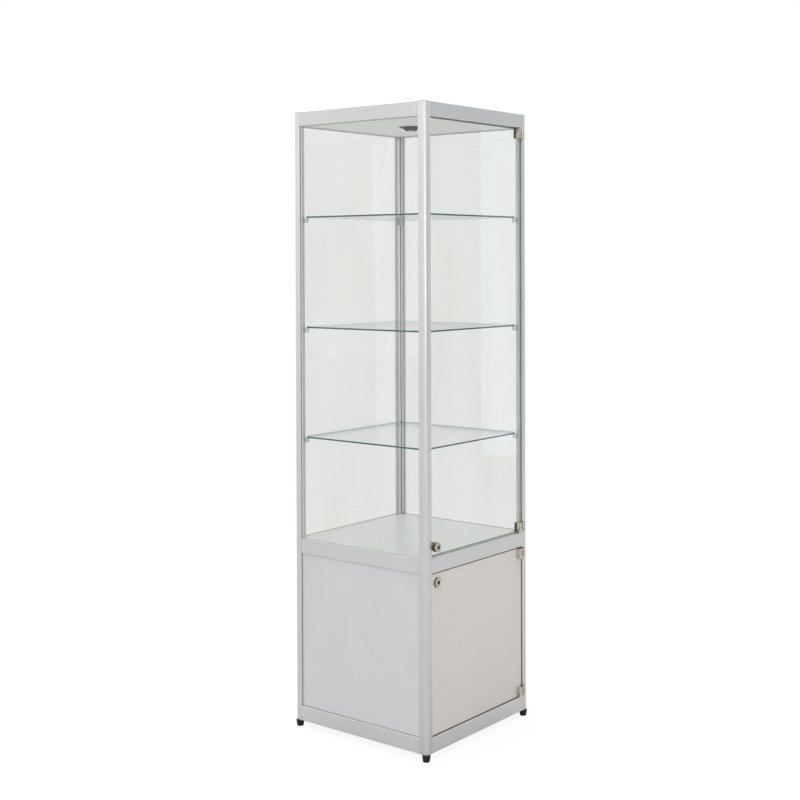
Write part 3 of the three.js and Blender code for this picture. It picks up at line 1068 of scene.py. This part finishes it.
@dataclass
class Shelves:
    """The three glass shelves with their clear brackets, and the pins that hold each bracket."""

    clip: float = 10.4
    arris: float = 0.45
    bracket_from: float = 16.0
    bracket_to: float = 33.6
    bracket_radius: float = 9.0
    bracket_segments: int = 10
    bracket_edge: float = 0.5
    post_from: float = 5.0
    post_clearance: float = 25.3
    post_chamfer: float = 5.0
    pin_radius: float = 2.6
    pin_offset: float = 3.8
    pin_segments: int = 32

    def build(self) -> None:
        """Builds the shelves, and one bracket and pin copied to the twelve corners."""
        for number in (1, 2, 3):
            name = f"shelf_{number}"
            shelf = self.sheet(name)
            fit(shelf, CASE, [name])
        bracket, pin = self.bracket(), self.pin()
        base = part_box("shelf_1_support_front_left")[0].z
        for number in (1, 2, 3):
            for corner in Corner:
                node = f"shelf_{number}_support_{corner.label}"
                move = Matrix.Translation((0, 0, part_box(node)[0].z - base)) @ turn(corner.value)
                piece = place(copy_of(bracket, f"shelf_{number}_bracket_{corner.label}"), move)
                fit(dress(piece, CLEAR), CASE, [node])
                stud = place(copy_of(pin, f"shelf_{number}_pin_{corner.label}"), move)
                fit(dress(stud, POLISHED), CASE)
        for pattern in (bracket, pin):
            bpy.data.objects.remove(pattern)

    def sheet(self, node: str) -> Piece:
        """Builds a shelf with clipped corners and an arris on every edge."""
        low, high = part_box(node)
        shelf = block(node + "_glass", low, high)
        round_edges(shelf, upright, self.clip, 1)
        round_edges(shelf, lambda c, d: not along(d, Axis.Z), self.arris, 1)
        dress(shelf, SHELF_GLASS)
        dress_faces(shelf, GROUND_EDGE, lambda c, n: abs(n.z) < 0.1)
        dress_faces(shelf, ARRIS, lambda c, n: 0.1 < abs(n.z) < 0.9)
        return shelf

    @staticmethod
    def corner_square(name: str, first: float, last: float, low: float, high: float) -> Piece:
        """Makes a block at the front left corner.

        Args:
            name: Its name.
            first: Where it starts, in millimetres in from the post's outer corner.
            last: Where it ends.
            low: Its lower height in metres.
            high: Its upper height.

        Returns:
            The block.
        """
        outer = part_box("front_left_post")[0]
        return block(
            name,
            (outer.x + first * MM, outer.y + first * MM, low),
            (outer.x + last * MM, outer.y + last * MM, high),
        )

    def bracket(self) -> Piece:
        """Builds the bracket that wraps the post's inner corner under the shelf."""
        low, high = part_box("shelf_1_support_front_left")
        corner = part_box("front_left_post")[0].x
        start, end, inner = self.bracket_from, self.bracket_to, self.post_clearance
        pad = self.corner_square("bracket pattern", start, end, low.z, high.z)
        far = corner + end * MM
        round_edges(pad, upright_at(far, far), self.bracket_radius, self.bracket_segments)
        post = self.corner_square("post space", self.post_from, inner, low.z - MM, high.z + MM)
        near_face = corner + inner * MM
        round_edges(post, upright_at(near_face, near_face), self.post_chamfer, 1)
        combine(pad, [post], "DIFFERENCE")
        soften(pad, self.bracket_edge, 3)
        return smooth(pad)

    def pin(self) -> Piece:
        """Builds the two domed pins on the bracket's face, square to the case's diagonal."""
        r, shank, rim, dome = self.pin_radius, self.pin_radius * 0.8, 0.5, 0.9
        profile = [(shank, -2.0), (shank, 0.0), (r, 0.0), (r, rim)]
        profile += [(r * math.cos(a), rim + dome * math.sin(a)) for a in (0.4, 0.8, 1.15, 1.4)]
        pin = turned("pin pattern", profile, self.pin_segments)
        low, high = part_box("shelf_1_support_front_left")
        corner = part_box("front_left_post")[0]
        reach = self.bracket_to - self.bracket_radius * (1 - math.sqrt(0.5))
        spot = Vector((corner.x + reach * MM, corner.y + reach * MM, (low.z + high.z) / 2))
        facing = Vector((1, 1, 0)).to_track_quat("Z", "Y").to_matrix().to_4x4()
        place(pin, Matrix.Translation(spot) @ facing)
        rise = Vector((0, 0, self.pin_offset * MM))
        upper = place(copy_of(pin, "upper pin"), Matrix.Translation(rise))
        place(pin, Matrix.Translation(-rise))
        return smooth(join([pin, upper]), 50)


@dataclass
class Doors:
    """The glass door and the board door, each drilled for its lock."""

    arris: float = 0.9
    board_round: float = 0.8
    hole_radius: float = 9.0
    hole_segments: int = 48

    def build(self) -> None:
        """Builds both doors."""
        glass = self.sheet("glass_door", "glass_door_pane")
        round_edges(glass, self.outer_edges("glass_door"), self.arris, 1)
        dress(glass, GLASS)
        dress_faces(glass, SEAMED_EDGE, lambda c, n: abs(n.y) < 0.9)
        fit(glass, "glass_door", ["glass_door"])
        board = self.sheet("cupboard_door", "cupboard_door_board")
        round_edges(board, self.outer_edges("cupboard_door"), self.board_round, 4)
        smooth(dress(board, DOOR_BOARD))
        dress_faces(board, EDGE_BAND, lambda c, n: abs(n.y) < 0.9)
        # The board door's top and bottom edges are painted black: painted shade for the gaps at the
        # rails.
        dress_faces(board, PAINTED_SHADE_BLACK, lambda c, n: abs(n.z) > 0.2)
        fit(board, "cupboard_door", ["cupboard_door"])

    def outer_edges(self, node: str) -> Rule:
        """Gives a rule for the edges along a door's outline."""
        low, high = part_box(node)

        def rule(centre: Vector, _: Vector) -> bool:
            """Is the rule."""
            sides = near(centre.x, low.x) or near(centre.x, high.x)
            ends = near(centre.z, low.z) or near(centre.z, high.z)
            return sides or ends

        return rule

    def sheet(self, node: str, name: str) -> Piece:
        """Makes a door's sheet, drilled through where its lock is."""
        low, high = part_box(node)
        sheet = block(name, low, high)
        lock_low, lock_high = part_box(node + "_lock_housing")
        centre = (lock_low + lock_high) / 2
        depth = (high.y - low.y) / MM + 2
        radius = self.hole_radius
        drill = turned("drill", [(radius, -1.0), (radius, depth)], self.hole_segments)
        place(drill, Matrix.Translation((centre.x, high.y, centre.z)) @ turn(90, "X"))
        return combine(sheet, [drill], "DIFFERENCE")


@dataclass
class GapShades:
    """Black strips behind the doors' edges, on the rails and beside the board door: painted shade
    in the gaps round the doors.
    """

    height: float = 3.0
    thickness: float = 2.0
    setback: float = 12.8
    end: float = 224.3
    edge: float = 0.4

    def build(self) -> None:
        """Builds one set of painted shade strips for each door."""
        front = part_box("front_middle_rail")[0].y + self.setback * MM
        for door, below, above, sides in (
            ("glass_door", "middle", "top", 0),
            ("cupboard_door", "bottom", "middle", 1),
        ):
            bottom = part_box(f"front_{below}_rail")[1].z
            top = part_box(f"front_{above}_rail")[0].z
            tall, end = self.height * MM, self.end * MM
            spans = [(-end, end, bottom, bottom + tall), (-end, end, top - tall, top)]
            spans += sides * [(end - tall, end, bottom + tall, top - tall)]
            strips = []
            for left, right, low, high in spans:
                back = front + self.thickness * MM
                strip = block("strip", (left, front, low), (right, back, high))
                soften(strip, self.edge)
                strips.append(strip)
            gap_shade = join(strips)
            gap_shade.name = gap_shade.data.name = door + "_seal"
            # Black strips where the gaps round the door lie in shade: painted shade.
            fit(smooth(dress(gap_shade, PAINTED_SHADE_BLACK)), CASE)


@dataclass
class Hinges:
    """The four hinges: a clamp on the door's edge that turns on the pin of a leaf on the post."""

    knuckle_radius: float = 3.9
    knuckle_gap: float = 0.35
    knuckle_ease: float = 0.4
    pin_radius: float = 1.8
    pin_recess: float = 1.0
    bore_radius: float = 2.15
    block_width: float = 15.0
    block_to_knuckle: float = 6.0
    strap: float = 1.4
    back_plate: float = 2.5
    tongue: float = 3.0
    tongue_gap: float = 0.3
    inset: float = 0.1
    clamp_edge: float = 0.6
    socket: tuple[float, float] = (1.5, 2.1)
    socket_depth: float = 2.2
    leaf_thickness: float = 2.0
    leaf_round: float = 1.6
    leaf_edge: float = 0.3
    arm_start: tuple[float, float] = (0.37, 0.23)
    leaf_gap: float = 0.5
    seat: float = 0.3
    screw_radius: float = 2.3
    screw_inset: float = 7.0
    recess: tuple[float, float] = (0.28, 1.3)
    segments: int = 40

    def build(self) -> None:
        """Builds the clamps and leaves of both doors."""
        for door in ("glass_door", "cupboard_door"):
            for end in ("bottom", "top"):
                stem = f"{door}_{end}_hinge"
                clamp = self.clamp(stem + "_clamp", door)
                fit(clamp, door, [stem + "_clamp"])
                leaf = self.leaf(stem + "_leaf")
                fit(leaf, CASE, [stem + "_leaf"])

    @staticmethod
    def axis() -> Vector:
        """Gives the hinge axis in plan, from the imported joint."""
        joint = next(j for j in frame["joints"] if j["name"] == "glass_door_swing")
        return Vector(joint["pos_m"])

    def knuckle(self, axis: Vector, low: float, high: float, bored: bool) -> Piece:
        """Makes a knuckle on the hinge axis between two heights in metres, with eased ends."""
        r, ease = self.knuckle_radius, self.knuckle_ease
        z0, z1 = low / MM, high / MM
        outside = [(r - ease, z0), (r, z0 + ease), (r, z1 - ease), (r - ease, z1)]
        bore = self.bore_radius
        profile = [(bore, z0), *outside, (bore, z1), (bore, z0)] if bored else outside
        knuckle = turned("knuckle", profile, self.segments)
        return place(knuckle, Matrix.Translation((axis.x, axis.y, 0)))

    def clamp(self, node: str, door: str) -> Piece:
        """Builds a clamp: a block before the door, a strap round its edge and a plate behind."""
        axis = self.axis()
        low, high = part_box(node)
        door_low, door_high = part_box(door)
        block_right = axis.x - (self.knuckle_radius + self.block_to_knuckle) * MM
        block_left = block_right - self.block_width * MM
        face = door_low.y - self.seat * MM
        back = door_high.y + self.seat * MM
        web = door_high.x + self.seat * MM
        web_out = web + self.strap * MM
        strap_face = face - self.strap * MM
        clamp = block(node + "_body", (block_left, strap_face, low.z), (web_out, face, high.z))
        with editing(clamp):
            slice_at((block_right, 0, 0), (1, 0, 0))
            slice_at((web, 0, 0), (1, 0, 0))
            push(clamp, lambda c, n: n.y < -0.9 and c.x < block_right, (0, low.y - strap_face, 0))
            push(clamp, lambda c, n: n.y > 0.9 and c.x > web, (0, back - face, 0))
            push(clamp, lambda c, n: n.y > 0.9 and c.x > web, (0, self.back_plate * MM, 0))
            push(
                clamp,
                lambda c, n: n.x < -0.9 and c.y > back and near(c.x, web),
                (block_left - web, 0, 0),
            )
            clean()
        soften(clamp, self.clamp_edge, 3)
        third = (high.z - low.z) / 3
        start, end = low.z + third + self.knuckle_gap * MM, high.z - third - self.knuckle_gap * MM
        half, inset = self.tongue / 2 * MM, self.inset * MM
        tongue = block(
            "tongue",
            (block_right - MM, axis.y - half, start + inset),
            (
                axis.x - self.bore_radius * MM - self.tongue_gap * MM,
                axis.y + half,
                end - inset,
            ),
        )
        combine(clamp, [tongue, self.knuckle(axis, start, end, True)], "UNION")
        spot = Vector(((block_left + block_right) / 2, low.y, (low.z + high.z) / 2))
        combine(clamp, [self.hex_socket(spot)], "DIFFERENCE")
        # The strap's front faces get the near-black plating: painted dark reflection.
        dress_faces(
            dress(clamp, PLATED),
            PAINTED_DARK_REFLECTION,
            lambda c, n: n.y < -0.5 and block_right < c.x < axis.x - self.knuckle_radius * MM,
        )
        return smooth(clamp)

    def hex_socket(self, spot: Vector) -> Piece:
        """Makes a cutter for a hexagonal socket with a lead-in, at a point of a front face."""
        inner, mouth = self.socket
        lead = 0.3
        profile = [(inner, -self.socket_depth), (inner, -lead), (mouth, lead), (mouth, 1.0)]
        cutter = turned("socket", profile, 6)
        return place(cutter, Matrix.Translation(spot) @ turn(90, "X"))

    def leaf(self, node: str) -> Piece:
        """Builds a leaf with two knuckles, the pin and two countersunk screws."""
        axis = self.axis()
        low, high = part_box(node)
        left = axis.x + (self.knuckle_radius + self.leaf_gap) * MM
        back = high.y
        face = back - self.leaf_thickness * MM
        leaf = block(node + "_body", (left, face, low.z), (high.x, back, high.z))
        round_edges(
            leaf, lambda c, d: along(d, Axis.Y) and near(c.x, high.x), self.leaf_round, 5
        )
        soften(leaf, self.leaf_edge)
        third = (high.z - low.z) / 3
        gap, inset = self.knuckle_gap * MM, self.inset * MM
        arm_x, arm_y = self.arm_start
        for start, end in ((low.z, low.z + third - gap), (high.z - third + gap, high.z)):
            # The arm starts a little off the axis, clear of the knuckle's own corners.
            arm = block(
                "arm",
                (axis.x + arm_x * MM, axis.y + arm_y * MM, start + inset),
                (left + MM, back - inset, end - inset),
            )
            combine(leaf, [arm, self.knuckle(axis, start, end, False)], "UNION")
        r, recess = self.pin_radius, self.pin_recess
        profile = [(r, low.z / MM + recess), (r, high.z / MM - recess)]
        pin = turned("pin", profile, self.segments)
        combine(leaf, [place(pin, Matrix.Translation((axis.x, axis.y, 0)))], "UNION")
        middle = (left + high.x) / 2
        for height in (low.z + self.screw_inset * MM, high.z - self.screw_inset * MM):
            combine(leaf, self.screw_seat(Vector((middle, face, height))), "DIFFERENCE")
        return smooth(dress(leaf, PLATED))

    def screw_seat(self, spot: Vector) -> list[Piece]:
        """Makes the cutters for a countersunk screw's ring and cross recess at a front face."""
        r, depth, top = self.screw_radius, 0.25, 0.3
        profile = [(r, -depth), (r + 0.25, top), (r + 0.05, top), (r - 0.2, -depth), (r, -depth)]
        ring = turned("ring", profile, self.segments)
        half, arm = (size * MM for size in self.recess)
        # The two bars of the cross end at different heights, so that no faces coincide.
        down = block("upright recess", (-half, -arm, -0.9 * MM), (half, arm, 0.5 * MM))
        across = block("cross recess", (-arm, -half, -0.8 * MM), (arm, half, 0.6 * MM))
        move = Matrix.Translation(spot) @ turn(90, "X")
        return [place(cutter, move) for cutter in (ring, down, across)]


@dataclass
class Locks:
    """The two cam locks: a plated housing through each door, and a plug with its keyway and cam."""

    head_radius: float = 14.0
    head_edge: float = 0.5
    rim: float = 1.6
    dish: float = 0.7
    barrel_radius: float = 8.5
    barrel_edge: float = 0.4
    nut_radius: float = 12.0
    nut_thickness: float = 4.0
    nut_edge: float = 0.6
    bore: float = 6.35
    plug_radius: float = 6.0
    plug_round: float = 0.7
    seat: float = 0.3
    slot: tuple[float, float, float] = (2.4, 8.4, 3.0)
    cam_width: float = 11.0
    cam_thickness: float = 2.0
    cam_edge: float = 0.25
    cam_nut_radius: float = 4.0
    segments: int = 64

    def build(self) -> None:
        """Builds the lock of each door."""
        for door in ("glass_door", "cupboard_door"):
            housing = self.housing(door)
            fit(housing, door, [door + "_lock_housing"])
            plug = self.plug(door)
            fit(plug, door + "_lock", [door + "_lock_plug"])

    @staticmethod
    def spot(door: str) -> Matrix:
        """Gives the place of a lock, with its axis out of the door's face and its Y upwards."""
        low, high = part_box(door + "_lock_housing")
        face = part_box(door)[0].y
        centre = ((low.x + high.x) / 2, face, (low.z + high.z) / 2)
        return Matrix.Translation(centre) @ turn(90, "X")

    def housing(self, door: str) -> Piece:
        """Builds the housing: a head with a rolled rim and a dished face, a barrel and a nut."""
        low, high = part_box(door + "_lock_housing")
        door_low, door_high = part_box(door)
        proud = (door_low.y - low.y) / MM
        end = -(high.y - door_low.y) / MM
        thickness = (door_high.y - door_low.y) / MM
        nut_front = -thickness - self.seat
        nut_back = nut_front - self.nut_thickness
        head, barrel, nut, rim = self.head_radius, self.barrel_radius, self.nut_radius, self.rim
        profile = [
            (self.bore, end),
            (barrel - self.barrel_edge, end),
            (barrel, end + self.barrel_edge),
            (barrel, nut_back),
            (nut - self.nut_edge, nut_back),
            (nut, nut_back + self.nut_edge),
            (nut, nut_front),
            (barrel, nut_front),
            (barrel, self.seat),
            (head - self.head_edge, self.seat),
            (head, self.seat + self.head_edge),
            *arc((head - rim, proud - rim), rim, 0, 90, 6),
            (head - rim - 1.2, proud),
            (head - rim - 1.8, proud - 0.5),
            (self.bore + 1.6, proud - self.dish),
            (self.bore + 0.8, proud - 0.1),
            (self.bore, proud - 0.1),
            (self.bore, end),
        ]
        housing = turned(door + "_lock_body", profile, self.segments)
        place(housing, self.spot(door))
        # The cupboard lock's rim sides and the parts behind the door get the near-black plating,
        # which is painted dark reflection; the glass door's lock gets the brassed plating there.
        dress_faces(
            dress(housing, PLATED_BARREL),
            PAINTED_DARK_REFLECTION if door == "cupboard_door" else BRASSED,
            lambda c, n: abs(n.y) < 0.5 or c.y > door_low.y,
        )
        return smooth(housing, 28)

    def plug(self, door: str) -> Piece:
        """Builds the plug with its keyway, and the cam behind the door."""
        low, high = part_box(door + "_lock_plug")
        door_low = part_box(door)[0]
        housing_low, housing_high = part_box(door + "_lock_housing")
        front = (door_low.y - low.y) / MM
        cam_back = -(high.y - door_low.y) / MM
        cam_front = cam_back + self.cam_thickness
        centre = (housing_low + housing_high) / 2
        up = high.z - centre.z > centre.z - low.z
        reach = ((high.z - centre.z) if up else (centre.z - low.z)) / MM
        r, ease = self.plug_radius, self.plug_round
        profile = [(r, cam_front - 0.5), *arc((r - ease, front - ease), ease, 0, 90, 4)]
        plug = turned(door + "_lock_cylinder", profile, self.segments)
        half = self.cam_width / 2
        cam = block(
            "cam", (-half * MM, -half * MM, cam_back * MM), (half * MM, reach * MM, cam_front * MM)
        )
        round_edges(cam, upright, half - 0.05, 8)
        soften(cam, self.cam_edge)
        if not up:
            place(cam, turn(180))
        combine(plug, [cam], "UNION")
        nut_radius = self.cam_nut_radius
        nut = turned("nut", [(nut_radius, cam_back), (nut_radius, cam_front)], 6)
        combine(plug, [nut], "UNION")
        wide, tall, deep = self.slot
        keyway = block(
            "keyway",
            (-wide / 2 * MM, -tall / 2 * MM, (front - deep) * MM),
            (wide / 2 * MM, tall / 2 * MM, (front + 1) * MM),
        )
        combine(plug, [keyway], "DIFFERENCE")
        place(plug, self.spot(door))
        # The plug's front face gets the near-black plating: painted dark reflection.
        dress_faces(
            dress(plug, PLATED), PAINTED_DARK_REFLECTION, lambda c, n: n.y < -0.9 and c.y < low.y + 0.1 * MM
        )
        return smooth(plug, 28)


@dataclass
class Feet:
    """The four levelling feet: a ribbed nylon cone that turns on a threaded stud in the post."""

    radius: float = 12.0
    base_radius: float = 9.9
    rim_height: float = 17.0
    edge_radius: float = 1.6
    height: float = 19.7
    rim_radius: float = 1.2
    stud_radius: float = 4.0
    stud_edge: tuple[float, float] = (0.6, 0.4)
    thread_pitch: float = 1.25
    thread_depth: float = 0.5
    rib_depth: float = 0.5
    rib_gap: float = 0.12
    segments: int = 64

    def build(self) -> None:
        """Builds one foot at the front left corner and copies it to the others."""
        foot = self.foot()
        for corner in Corner:
            name = corner.label
            piece = place(copy_of(foot, name + "_levelling_foot"), turn(corner.value))
            fit(dress(piece, NYLON), name + "_foot", [name + "_foot"])
        bpy.data.objects.remove(foot)

    def foot(self) -> Piece:
        """Builds the foot with its ribs, and the stud with its thread."""
        low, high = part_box("front_left_foot")
        edge, r, base, rim = self.edge_radius, self.radius, self.base_radius, self.rim_radius
        stud, top = self.stud_radius, (high.z - low.z) / MM
        profile = [
            (base - edge - 4.0, 0.6),
            (base - edge - 3.0, 0.0),
            *arc((base - edge, edge), edge, -90, 0, 6),
            *arc((r - rim, self.rim_height), rim, 0, 70, 4),
            (r - 1.4, self.height),
            (stud, self.height),
        ]
        height, pitch = self.height, self.thread_pitch
        while height + pitch < top:
            profile += [(stud, height + 0.35), (stud - self.thread_depth, height + 0.8)]
            height += pitch
            profile.append((stud, height))
        inwards, down = self.stud_edge
        profile += [(stud, top - down), (stud - inwards, top)]
        foot = turned("foot pattern", profile, self.segments)
        step = 2 * math.pi / self.segments
        with editing(foot):
            bpy.ops.mesh.select_mode(type="FACE")

            def rib(centre: Vector, normal: Vector) -> bool:
                """Is a rule for the sunk faces between the ribs."""
                number = round(math.atan2(centre.y, centre.x) / step - 0.5)
                level = edge * MM < centre.z < self.rim_height * MM
                return level and abs(normal.z) < 0.3 and number % 4 in (0, 1)

            pick(foot, Element.FACE, rib)
            bpy.ops.mesh.inset(thickness=self.rib_gap * MM, use_boundary=True)
            factor = 1 - self.rib_depth / r
            bpy.ops.transform.resize(value=(factor, factor, 1), center_override=(0, 0, 0))
        centre = (low + high) / 2
        place(foot, Matrix.Translation((centre.x, centre.y, low.z)))
        return smooth(foot, 35)


@dataclass
class CeilingLight:
    """The round downlight in the ceiling: a flange, a tapered body and a recessed frosted lens."""

    segments: int = 72
    flange_radius: float = 35.0
    flange_thickness: float = 2.2
    ceiling_gap: float = 0.3
    recess_radius: float = 27.0

    def build(self) -> None:
        """Builds the housing and the lens."""
        low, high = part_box("ceiling_light")
        centre = Matrix.Translation(((low.x + high.x) / 2, (low.y + high.y) / 2, low.z))
        top = (high.z - low.z) / MM
        flange_top = (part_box("ceiling_panel")[0].z - low.z) / MM - self.ceiling_gap
        flange = flange_top - self.flange_thickness
        outer, recess = self.flange_radius, self.recess_radius
        profile = [
            (13.4, 1.6),
            (14.2, 0.3),
            *arc((16.4, 0.6), 0.6, -90, 0, 4),
            (19.5, 3.6),
            (20.1, 3.6),
            (20.9, 4.3),
            (21.3, 4.9),
            (24.0, 7.6),
            (25.2, flange - 0.6),
            (26.4, flange),
            (outer - 1.2, flange),
            *arc((outer - 1.0, flange + 1.0), 1.0, -90, 0, 5),
            (outer, flange_top - 0.2),
            (outer - 0.2, flange_top),
            (recess, flange_top),
            (recess, top - 1.0),
            (recess - 1.0, top),
        ]
        body = turned("ceiling_light_housing", profile, self.segments)
        place(body, centre)
        smooth(dress(body, LIGHT_BODY), 30)
        fit(body, CASE, ["ceiling_light"])
        lens = turned(
            "ceiling_light_lens",
            [(6.0, 0.75), (10.0, 0.85), (12.6, 1.15), (13.2, 1.4), (13.2, 1.7)],
            self.segments,
        )
        place(lens, centre)
        smooth(dress(lens, LENS), 40)
        fit(lens, CASE)


# ------------------------------------------------------------------------------
# Studio
# ------------------------------------------------------------------------------


@dataclass(frozen=True)
class Softbox:
    """A soft rectangular lamp; lengths in metres and the azimuth in degrees from the front."""

    name: str
    azimuth: float
    height: float
    distance: float
    width: float
    tall: float
    watts: float
    colour: str = "#ffffff"
    aim_height: float = 0.9

    def build(self) -> None:
        """Adds the lamp, aimed at the middle of the case and hidden from the camera."""
        data = bpy.data.lights.new(self.name, "AREA")
        data.shape = "RECTANGLE"
        data.size, data.size_y = self.width, self.tall
        data.energy = self.watts
        data.color = linear(self.colour)[:3]
        lamp = bpy.data.objects.new(self.name, data)
        bpy.context.scene.collection.objects.link(lamp)
        a = math.radians(self.azimuth)
        lamp.location = (math.sin(a) * self.distance, -math.cos(a) * self.distance, self.height)
        towards = Vector((0, 0, self.aim_height)) - lamp.location
        lamp.rotation_euler = towards.to_track_quat("-Z", "Y").to_euler()
        lamp.visible_camera = False


@dataclass
class Studio:
    """A white studio: seamless paper, an even surround, and soft lamps."""

    surround: str = "#fdfdfe"
    window_azimuth: float = 52.0
    window_strength: float = 0.86
    room_strength: float = 0.5
    wall_azimuth: float = -52.0
    wall_strength: float = 0.34
    overhead_strength: float = 0.45
    seen_strength: float = 1.02
    floor_size: float = 24.0  # metres
    transparent_layers: int = 32

    def build(self) -> None:
        """Builds the surround, the floor and the lamps."""
        scene = bpy.context.scene
        scene.view_settings.view_transform = "Standard"
        scene.cycles.transparent_max_bounces = self.transparent_layers
        scene.world = bpy.data.worlds.new("studio")
        scene.world.use_nodes = True
        self.light_round(scene.world.node_tree)
        self.floor()
        for lamp in (
            Softbox("overhead softbox", -20, 4.2, 0.4, 3.4, 3.4, 30.0),
            Softbox("camera-side softbox", -30, 2.3, 4.6, 2.0, 2.2, 28.0),
            Softbox("strip softbox", 54.2, 1.5, 5.55, 0.36, 3.0, 2.8, "#d0e2ff"),
        ):
            lamp.build()

    @staticmethod
    def brighter_side(
        tree: Tree, view: Socket, azimuth: float, start: float, low: float, high: float
    ) -> Socket:
        """Adds a level that rises smoothly towards one side of the studio.

        Args:
            tree: The world's node tree.
            view: The direction looked in.
            azimuth: Where the bright side is, in degrees.
            start: Cosine of the angle to it where the level starts to rise.
            low: The level before that.
            high: The level at the bright side.

        Returns:
            The level.
        """
        a = math.radians(azimuth)
        settings = {"operation": "DOT_PRODUCT", 1: (-math.sin(a), math.cos(a), 0)}
        towards = add_node(tree, "ShaderNodeVectorMath", settings, {0: view}).outputs["Value"]
        settings = {"From Min": start, "From Max": 0.75, "To Min": low, "To Max": high}
        settings["interpolation_type"] = "SMOOTHSTEP"
        return add_node(tree, "ShaderNodeMapRange", settings, {"Value": towards}).outputs["Result"]

    def light_round(self, tree: Tree) -> None:
        """Builds the surround: a window side, a wall side, a bright ceiling and a seen white."""
        tree.nodes.clear()
        rays = add_node(tree, "ShaderNodeLightPath")
        view = add_node(tree, "ShaderNodeTexCoord").outputs["Generated"]
        window = self.brighter_side(
            tree, view, self.window_azimuth, -0.75, self.room_strength, self.window_strength
        )
        wall = self.brighter_side(tree, view, self.wall_azimuth, 0.3, 0.0, self.wall_strength)
        parts = add_node(tree, "ShaderNodeSeparateXYZ", links={"Vector": view})
        upwards = maths(tree, "MAXIMUM", parts.outputs["Z"], 0.0)
        level = maths(tree, "ADD", window, wall)
        strength = maths(tree, "MULTIPLY_ADD", upwards, self.overhead_strength, level)
        colour = {"Color": linear(self.surround)}
        lit = add_node(tree, "ShaderNodeBackground", colour, {"Strength": strength})
        plain = {"Color": WHITE, "Strength": self.seen_strength}
        seen = add_node(tree, "ShaderNodeBackground", plain)
        pair = (lit.outputs["Background"], seen.outputs["Background"])
        surround = mix(tree, rays.outputs["Is Camera Ray"], *pair)
        add_node(tree, "ShaderNodeOutputWorld", links={"Surface": surround})

    def floor(self) -> None:
        """Lays the paper on the floor."""
        bpy.ops.mesh.primitive_grid_add(
            x_subdivisions=4, y_subdivisions=4, size=self.floor_size, location=(0, 0, 0)
        )
        paper = bpy.context.active_object
        paper.name = "studio_floor"
        dress(paper, StudioPaper())


@dataclass(frozen=True)
class ViewCamera:
    """The camera at the photograph's viewing angle; places in metres, angles in degrees."""

    place: tuple[float, float, float] = (-3.1484, -2.5257, 1.4011)
    azimuth: float = -51.97
    drop: float = 0.8136
    roll: float = -0.1891
    lens: float = 60.01
    shift: tuple[float, float] = (-0.0348, -0.1525)

    def build(self) -> None:
        """Adds the camera and makes it the scene's."""
        data = bpy.data.cameras.new("view")
        data.lens = self.lens
        data.sensor_width = 36.0
        data.shift_x, data.shift_y = self.shift
        data.clip_end = 100.0
        camera = bpy.data.objects.new("view", data)
        bpy.context.scene.collection.objects.link(camera)
        camera.matrix_world = (
            Matrix.Translation(self.place)
            @ turn(self.azimuth)
            @ turn(90 - self.drop, "X")
            @ turn(self.roll)
        )
        bpy.context.scene.camera = camera


def main() -> None:
    """Builds the case, the studio and the camera in order."""
    logging.basicConfig(level=logging.INFO, format="%(name)s: %(message)s")
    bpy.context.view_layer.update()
    for assembly in (
        Posts(),
        Rails(),
        Boards(),
        Glazing(),
        Shelves(),
        Doors(),
        GapShades(),
        Hinges(),
        Locks(),
        Feet(),
        CeilingLight(),
        Studio(),
        ViewCamera(),
    ):
        assembly.build()
        LOG.info("%s done", type(assembly).__name__)


if __name__ == "__main__":
    main()
